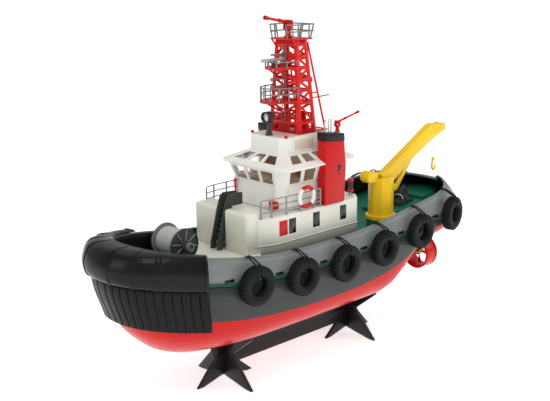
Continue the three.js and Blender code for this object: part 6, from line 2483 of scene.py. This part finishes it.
gear = []
for s in (1, -1):
    gear += bitts(216 * mm, s * 22 * mm, deck_level(216 * mm), 5 * mm, 11 * mm)
    gear += bitts(-150 * mm, s * 62 * mm, deck_level(-150 * mm), 5 * mm, 10 * mm, "x")
    gear += bitts(-262 * mm, s * 34 * mm, deck_level(-262 * mm), 5 * mm, 10 * mm)
    gear += bitts(150 * mm, s * 62 * mm, deck_level(150 * mm), 4 * mm, 8 * mm, "x")
lead_z = deck_level(236 * mm)
gear.append(block(230 * mm, 242 * mm, -15 * mm, 15 * mm, lead_z, lead_z + 4 * mm, 1 * mm))
for y in (-11 * mm, -4 * mm, 4 * mm, 11 * mm):
    gear.append(
        turned(
            [
                (0, 0), (2.2 * mm, 0), (1.6 * mm, 2 * mm), (1.6 * mm, 8 * mm), (2.4 * mm, 10 * mm),
                (0, 10.4 * mm),
            ],
            "z", (236 * mm, y, lead_z + 3.6 * mm), 18,
        )
    )
gear.append(
    block(
        196 * mm, 212 * mm, -6 * mm, 6 * mm, deck_level(204 * mm), deck_level(204 * mm) + 5 * mm,
        1.2 * mm,
    )
)
gear.append(
    turned(
        [(0, 0), (3 * mm, 0), (3 * mm, 8 * mm), (0, 8.4 * mm)], "x",
        (206 * mm, 0, deck_level(204 * mm) + 6 * mm), 20,
    )
)
finished(joined_mesh(gear), "deck_bitts", "boat", black)

silver = []
bitt_low, bitt_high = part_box("towing_bitt")
bitt_x = (bitt_low[0] + bitt_high[0]) / 2 + 1 * mm
remade("towing_bitt", "towing_bitt_body", "boat", dark_grey, 1.1 * mm, 3)
silver.append(
    bent_tube(
        [
            (
                bitt_x + 9 * mm, 6.5 * mm + 9 * mm * math.cos(a),
                bitt_high[2] - 19 * mm + 7 * mm * math.sin(a),
            )
            for a in [math.pi * k / 10 - math.pi / 2 for k in range(21)]
        ],
        0.9 * mm, 8,
    )
)
silver.append(
    tube_between(
        (bitt_x, -15 * mm, bitt_high[2] - 16 * mm), (bitt_x, 15 * mm, bitt_high[2] - 16 * mm),
        1.7 * mm, 14,
    )
)
finished(joined_mesh(silver), "towing_shackle", "boat", steel, smooth=60)

hatches = []
for x0, x1, half_y in ((-262, -236, 24), (-194, -164, 26)):
    z = deck_level((x0 + x1) / 2 * mm)
    rise_0, rise_1 = deck_level(x0 * mm), deck_level(x1 * mm)
    lid = block(
        x0 * mm, x1 * mm, -half_y * mm, half_y * mm, min(rise_0, rise_1) - 0.4 * mm,
        max(rise_0, rise_1) + 0.9 * mm, 0.6 * mm,
    )
    hatches.append(lid)
finished(joined_mesh(hatches), "deck_hatches", "boat", deck_green)
print("deck gear made")

# %% [markdown]
# The crane's column, boom and hook keep their outlines with rounded edges. Added to them are the
# boom's raised webs, the pin heads, a sheave at the tip, bolts round the flange, and a short hose
# from the motor pod to the boom.

# %% Crane
slew_at, luff_at = joint_at["crane_slew"], joint_at["boom_luff"]
hang_at = joint_at["hook_swing"]
flange_bolts = [
    turned(
        [(0, 0), (0.9 * mm, 0), (0.9 * mm, 0.7 * mm), (0, 0.9 * mm)], "z",
        slew_at + Vector((18.6 * mm * math.cos(a), 18.6 * mm * math.sin(a), 4.9 * mm)), 6,
    )
    for a in [math.pi / 4 * k + math.pi / 8 for k in range(8)]
]
pin_heads = [
    turned(
        [(0, 0), (3.6 * mm, 0), (3.6 * mm, 0.8 * mm), (2.8 * mm, 1.5 * mm), (0, 1.6 * mm)], "y",
        (luff_at.x, luff_at.y + 13.2 * mm, luff_at.z), 24,
    )
]
pin_heads.append(
    turned(
        [(0, 0), (3.6 * mm, 0), (3.6 * mm, -0.8 * mm), (2.8 * mm, -1.5 * mm), (0, -1.6 * mm)], "y",
        (luff_at.x, luff_at.y - 13.2 * mm, luff_at.z), 24,
    )
)
pod_x, pod_z = slew_at.x + 27 * mm, luff_at.z + 12 * mm
pod_ends = [
    turned(
        [
            (0, s * 6 * mm), (7.8 * mm, s * 6 * mm), (7.2 * mm, s * 7.2 * mm),
            (5.4 * mm, s * 7.8 * mm), (0, s * 8.0 * mm),
        ],
        "y", (pod_x, slew_at.y, pod_z), 28,
    )
    for s in (1, -1)
]
remade("crane_base", "crane_plinth", "boat", deck_green, 0.8 * mm)
remade(
    "crane_turret", "crane_column", "crane_turret", yellow, 0.9 * mm, 3, 35,
    flange_bolts + pin_heads + pod_ends,
)
boom_low, boom_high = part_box("crane_boom")
tip_x, tip_z = boom_low[0], boom_high[2] - 5 * mm
root = Vector((luff_at.x + 1 * mm, slew_at.y, luff_at.z + 15 * mm))
knuckle = Vector((tip_x + 29 * mm, slew_at.y, boom_high[2]))
webs = []
for s in (1, -1):
    y = Vector((0, s * 4.6 * mm, 0))
    webs.append(
        flat_bar(
            root + y + Vector((-3 * mm, 0, 1 * mm)), knuckle + y + Vector((1 * mm, 0, -0.5 * mm)),
            1.2 * mm, 1.8 * mm, (0, 0, 1),
        )
    )
    webs.append(
        turned(
            [(0, 0), (4.2 * mm, 0), (4.2 * mm, s * 0.6 * mm), (0, s * 0.9 * mm)], "y",
            (tip_x + 8 * mm, slew_at.y + s * 5.3 * mm, tip_z + 1 * mm), 24,
        )
    )
    webs.append(
        turned(
            [(0, 0), (2.2 * mm, 0), (2.2 * mm, s * 0.6 * mm), (0, s * 0.8 * mm)], "y",
            (hang_at.x, slew_at.y + s * 5.3 * mm, hang_at.z + 5 * mm), 18,
        )
    )
remade("crane_boom", "crane_jib", "crane_boom", yellow, 0.8 * mm, 3, 35, webs)
_, hook_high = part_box("crane_hook")
hook_x, hook_y = hang_at.x, hang_at.y
bend = [
    (0, -1.4), (0.6, -5), (1.7, -9), (2.2, -12), (1.6, -15.6), (-0.6, -18.2), (-3.2, -18.2),
    (-4.8, -16), (-4.9, -13.6),
]
hook_line = [(hook_x + u * mm, hook_y, hook_high[2] + v * mm) for u, v in bend]
hook_parts = [
    bent_tube(hook_line, 1.55 * mm, 12),
    ball((hook_x, hook_y, hook_high[2] - 2.6 * mm), 2.5 * mm, 16),
    ball(hook_line[-1], 1.5 * mm, 12),
]
hook = finished(
    joined_mesh(hook_parts), "crane_hook_body", "crane_hook", yellow, ["crane_hook"],
    smooth=60,
)
hose = bent_tube(
    [
        (pod_x - 1 * mm, slew_at.y + 3 * mm, pod_z + 7.6 * mm),
        (pod_x - 6 * mm, slew_at.y + 3 * mm, pod_z + 9.4 * mm),
        (pod_x - 11 * mm, slew_at.y + 3 * mm, pod_z + 8 * mm),
        (pod_x - 15 * mm, slew_at.y + 3 * mm, pod_z + 3.4 * mm),
    ],
    0.8 * mm, 8,
)
finished(hose, "crane_hose", "crane_turret", black, smooth=60)
print("crane made")

# %% [markdown]
# The stand is three slotted plates with a satin black finish. Its outline is the frame's own, with
# the edges rounded.

# %% Stand
for node in ("stand_spine", "stand_cross_front", "stand_cross_rear"):
    remade(node, node + "_plate", "stand", black, 0.7 * mm, 2)
print("stand made")

# %% [markdown]
# Under the stern each propeller turns inside a red nozzle whose section is a thin aerofoil. The
# blades are skinned through lens-shaped sections that twist and widen along the radius.

# %% Running gear
def blade_ring(radius, chord, pitch_angle, thick, centre, spin_angle):
    loop = []
    for k in range(10):
        a = 2 * math.pi * k / 10
        along, off = chord / 2 * math.cos(a), thick / 2 * math.sin(a)
        x = along * math.sin(pitch_angle) + off * math.cos(pitch_angle)
        t = (along * math.cos(pitch_angle) - off * math.sin(pitch_angle)) / radius + spin_angle
        loop.append(
            Vector((centre.x + x, centre.y + radius * math.cos(t), centre.z + radius * math.sin(t)))
        )
    return loop


for side, suffix in ((1, "port"), (-1, "starboard")):
    shaft_low, shaft_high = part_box("shaft_" + suffix)
    prop_low, prop_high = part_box("propeller_" + suffix)
    axis_y, axis_z = (shaft_low[1] + shaft_high[1]) / 2, (shaft_low[2] + shaft_high[2]) / 2
    hub = Vector(((prop_low[0] + prop_high[0]) / 2, axis_y, axis_z))
    reach = (prop_high[2] - prop_low[2]) / 2
    wide = prop_high[0] - prop_low[0]
    blades = [
        turned(
            [
                (0, -wide / 2 - 2 * mm), (2.2 * mm, -wide / 2), (3.6 * mm, -wide / 2 + 2 * mm),
                (4.2 * mm, wide / 2), (0, wide / 2),
            ],
            "x", hub, 28,
        )
    ]
    for k in range(4):
        rings = []
        for part, chord, twist in (
            (0.2, 6, 62), (0.4, 10, 46), (0.62, 13, 36), (0.82, 13, 30), (0.95, 9, 27),
            (0.99, 4, 26),
        ):
            rings.append(
                blade_ring(
                    reach * part, chord * mm, math.radians(twist) * side, (1.8 - part) * 0.9 * mm,
                    hub, math.pi / 2 * k,
                )
            )
        blades.append(bridged(rings, True, True))
    finished(
        joined_mesh(blades), "propeller_blades_" + suffix, suffix + "_shaft", brass,
        ["propeller_" + suffix], smooth=50,
    )

    rod_r = 2.0 * mm
    rod = [
        turned(
            [
                (0, shaft_low[0]), (rod_r, shaft_low[0]), (rod_r, shaft_high[0] - 8 * mm),
                (3.6 * mm, shaft_high[0] - 8 * mm), (3.6 * mm, shaft_high[0]), (0, shaft_high[0]),
            ],
            "x", (0, axis_y, axis_z), 24,
        )
    ]
    finished(
        joined_mesh(rod), "drive_shaft_" + suffix, suffix + "_shaft", steel, ["shaft_" + suffix],
    )
    tube_low, tube_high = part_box("stern_tube_" + suffix)
    tube_r = (tube_high[2] - tube_low[2]) / 2
    tube_line = [
        (rod_r + 0.3 * mm, tube_low[0]), (tube_r, tube_low[0]), (tube_r, tube_high[0] - 6 * mm),
        (tube_r * 0.8, tube_high[0] - 5 * mm), (tube_r * 0.8, tube_high[0]),
        (rod_r + 0.3 * mm, tube_high[0]), (rod_r + 0.3 * mm, tube_low[0]),
    ]
    finished(
        turned(tube_line, "x", (0, axis_y, axis_z), 24), "tube_" + suffix, "boat", brass,
        ["stern_tube_" + suffix],
    )

    noz_low, noz_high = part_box("nozzle_" + suffix)
    outer = (noz_high[1] - noz_low[1]) / 2
    remade("nozzle_" + suffix, "nozzle_body_" + suffix, "boat", red, 0.5 * mm, 2, 35)
    bands = [
        turned(
            [
                (outer - 0.5 * mm, x), (outer + 0.5 * mm, x + 0.3 * mm),
                (outer + 0.5 * mm, x + 1.7 * mm), (outer - 0.5 * mm, x + 2 * mm),
                (outer - 0.5 * mm, x),
            ],
            "x", (0, axis_y, axis_z), 48,
        )
        for x in (noz_low[0] + 1 * mm, noz_high[0] - 3 * mm)
    ]
    finished(joined_mesh(bands), "nozzle_bands_" + suffix, "boat", red)
print("running gear made")

# %% [markdown]
# Inside the hull, seen when the boat is opened: two can motors on their feet, a battery of six
# cells in a shrink wrap, and the receiver with its row of pins.

# %% Inside the hull
can_steel = moulded("motor_can", (0.42, 0.43, 0.44), 1.0, (0.25, 0.4), 900, 0.00003, metal=1.0)
for side, suffix in ((1, "port"), (-1, "starboard")):
    low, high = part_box("motor_" + suffix)
    mid_y = side * 42 * mm
    mid_z = 102 * mm
    r = 13.2 * mm
    parts = [
        turned(
            [
                (0, low[0] - 0.2 * mm), (r + 0.9 * mm, low[0] - 0.2 * mm),
                (r + 0.9 * mm, low[0] + 6 * mm), (0, low[0] + 6 * mm),
            ],
            "x", (0, mid_y, mid_z), 36,
        )
    ]
    parts += [
        block(
            high[0] - 0.2 * mm, high[0] + 2.2 * mm, mid_y + s * 7 * mm - 1 * mm,
            mid_y + s * 7 * mm + 1 * mm, mid_z - 2.2 * mm, mid_z + 2.2 * mm, 0.3 * mm,
        )
        for s in (1, -1)
    ]
    remade(
        "motor_" + suffix, "motor_body_" + suffix, "boat", can_steel, 0.6 * mm, 2
    )
    finished(joined_mesh(parts), "motor_caps_" + suffix, "boat", black)

pack_low, pack_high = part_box("battery_pack")
cells = []
cell_r = (pack_high[1] - pack_low[1]) / 4
cell_len = (pack_high[0] - pack_low[0]) / 3
for s in (1, -1):
    for k in range(3):
        x0 = pack_low[0] + k * cell_len + 0.2 * mm
        x1 = x0 + cell_len - 0.4 * mm
        cells.append(
            turned(
                [
                    (0, x0), (cell_r - 1.4 * mm, x0), (cell_r - 0.1 * mm, x0 + 1.2 * mm),
                    (cell_r - 0.1 * mm, x1 - 1.2 * mm), (cell_r - 1.4 * mm, x1), (0, x1),
                ],
                "x", (0, s * cell_r, (pack_low[2] + pack_high[2]) / 2), 32,
            )
        )
wrap = moulded("battery_wrap", (0.02, 0.10, 0.30), 1.0, (0.18, 0.3), 300, 0.0001)
finished(joined_mesh(cells), "battery_cells", "boat", wrap, ["battery_pack"])
rec_low, rec_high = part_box("receiver_box")
pins = []
for k in range(6):
    for j in range(3):
        x = rec_high[0] - 6 * mm - j * 2.54 * mm
        y = rec_low[1] + 9 * mm + k * 4.4 * mm
        pins.append(
            tube_between(
                (x, y, rec_high[2] - 0.4 * mm), (x, y, rec_high[2] + 3.4 * mm), 0.32 * mm, 6
            )
        )
finished(joined_mesh(pins), "receiver_pins", "boat", brass)
lid = [
    block(
        rec_low[0] + 3 * mm, rec_high[0] - 15 * mm, rec_low[1] + 3 * mm, rec_high[1] - 3 * mm,
        rec_high[2] - 0.3 * mm, rec_high[2] + 0.7 * mm, 0.3 * mm,
    )
]
remade("receiver_box", "receiver_case", "boat", black, 1.0 * mm, 3, 35, lid)
print("inside made")
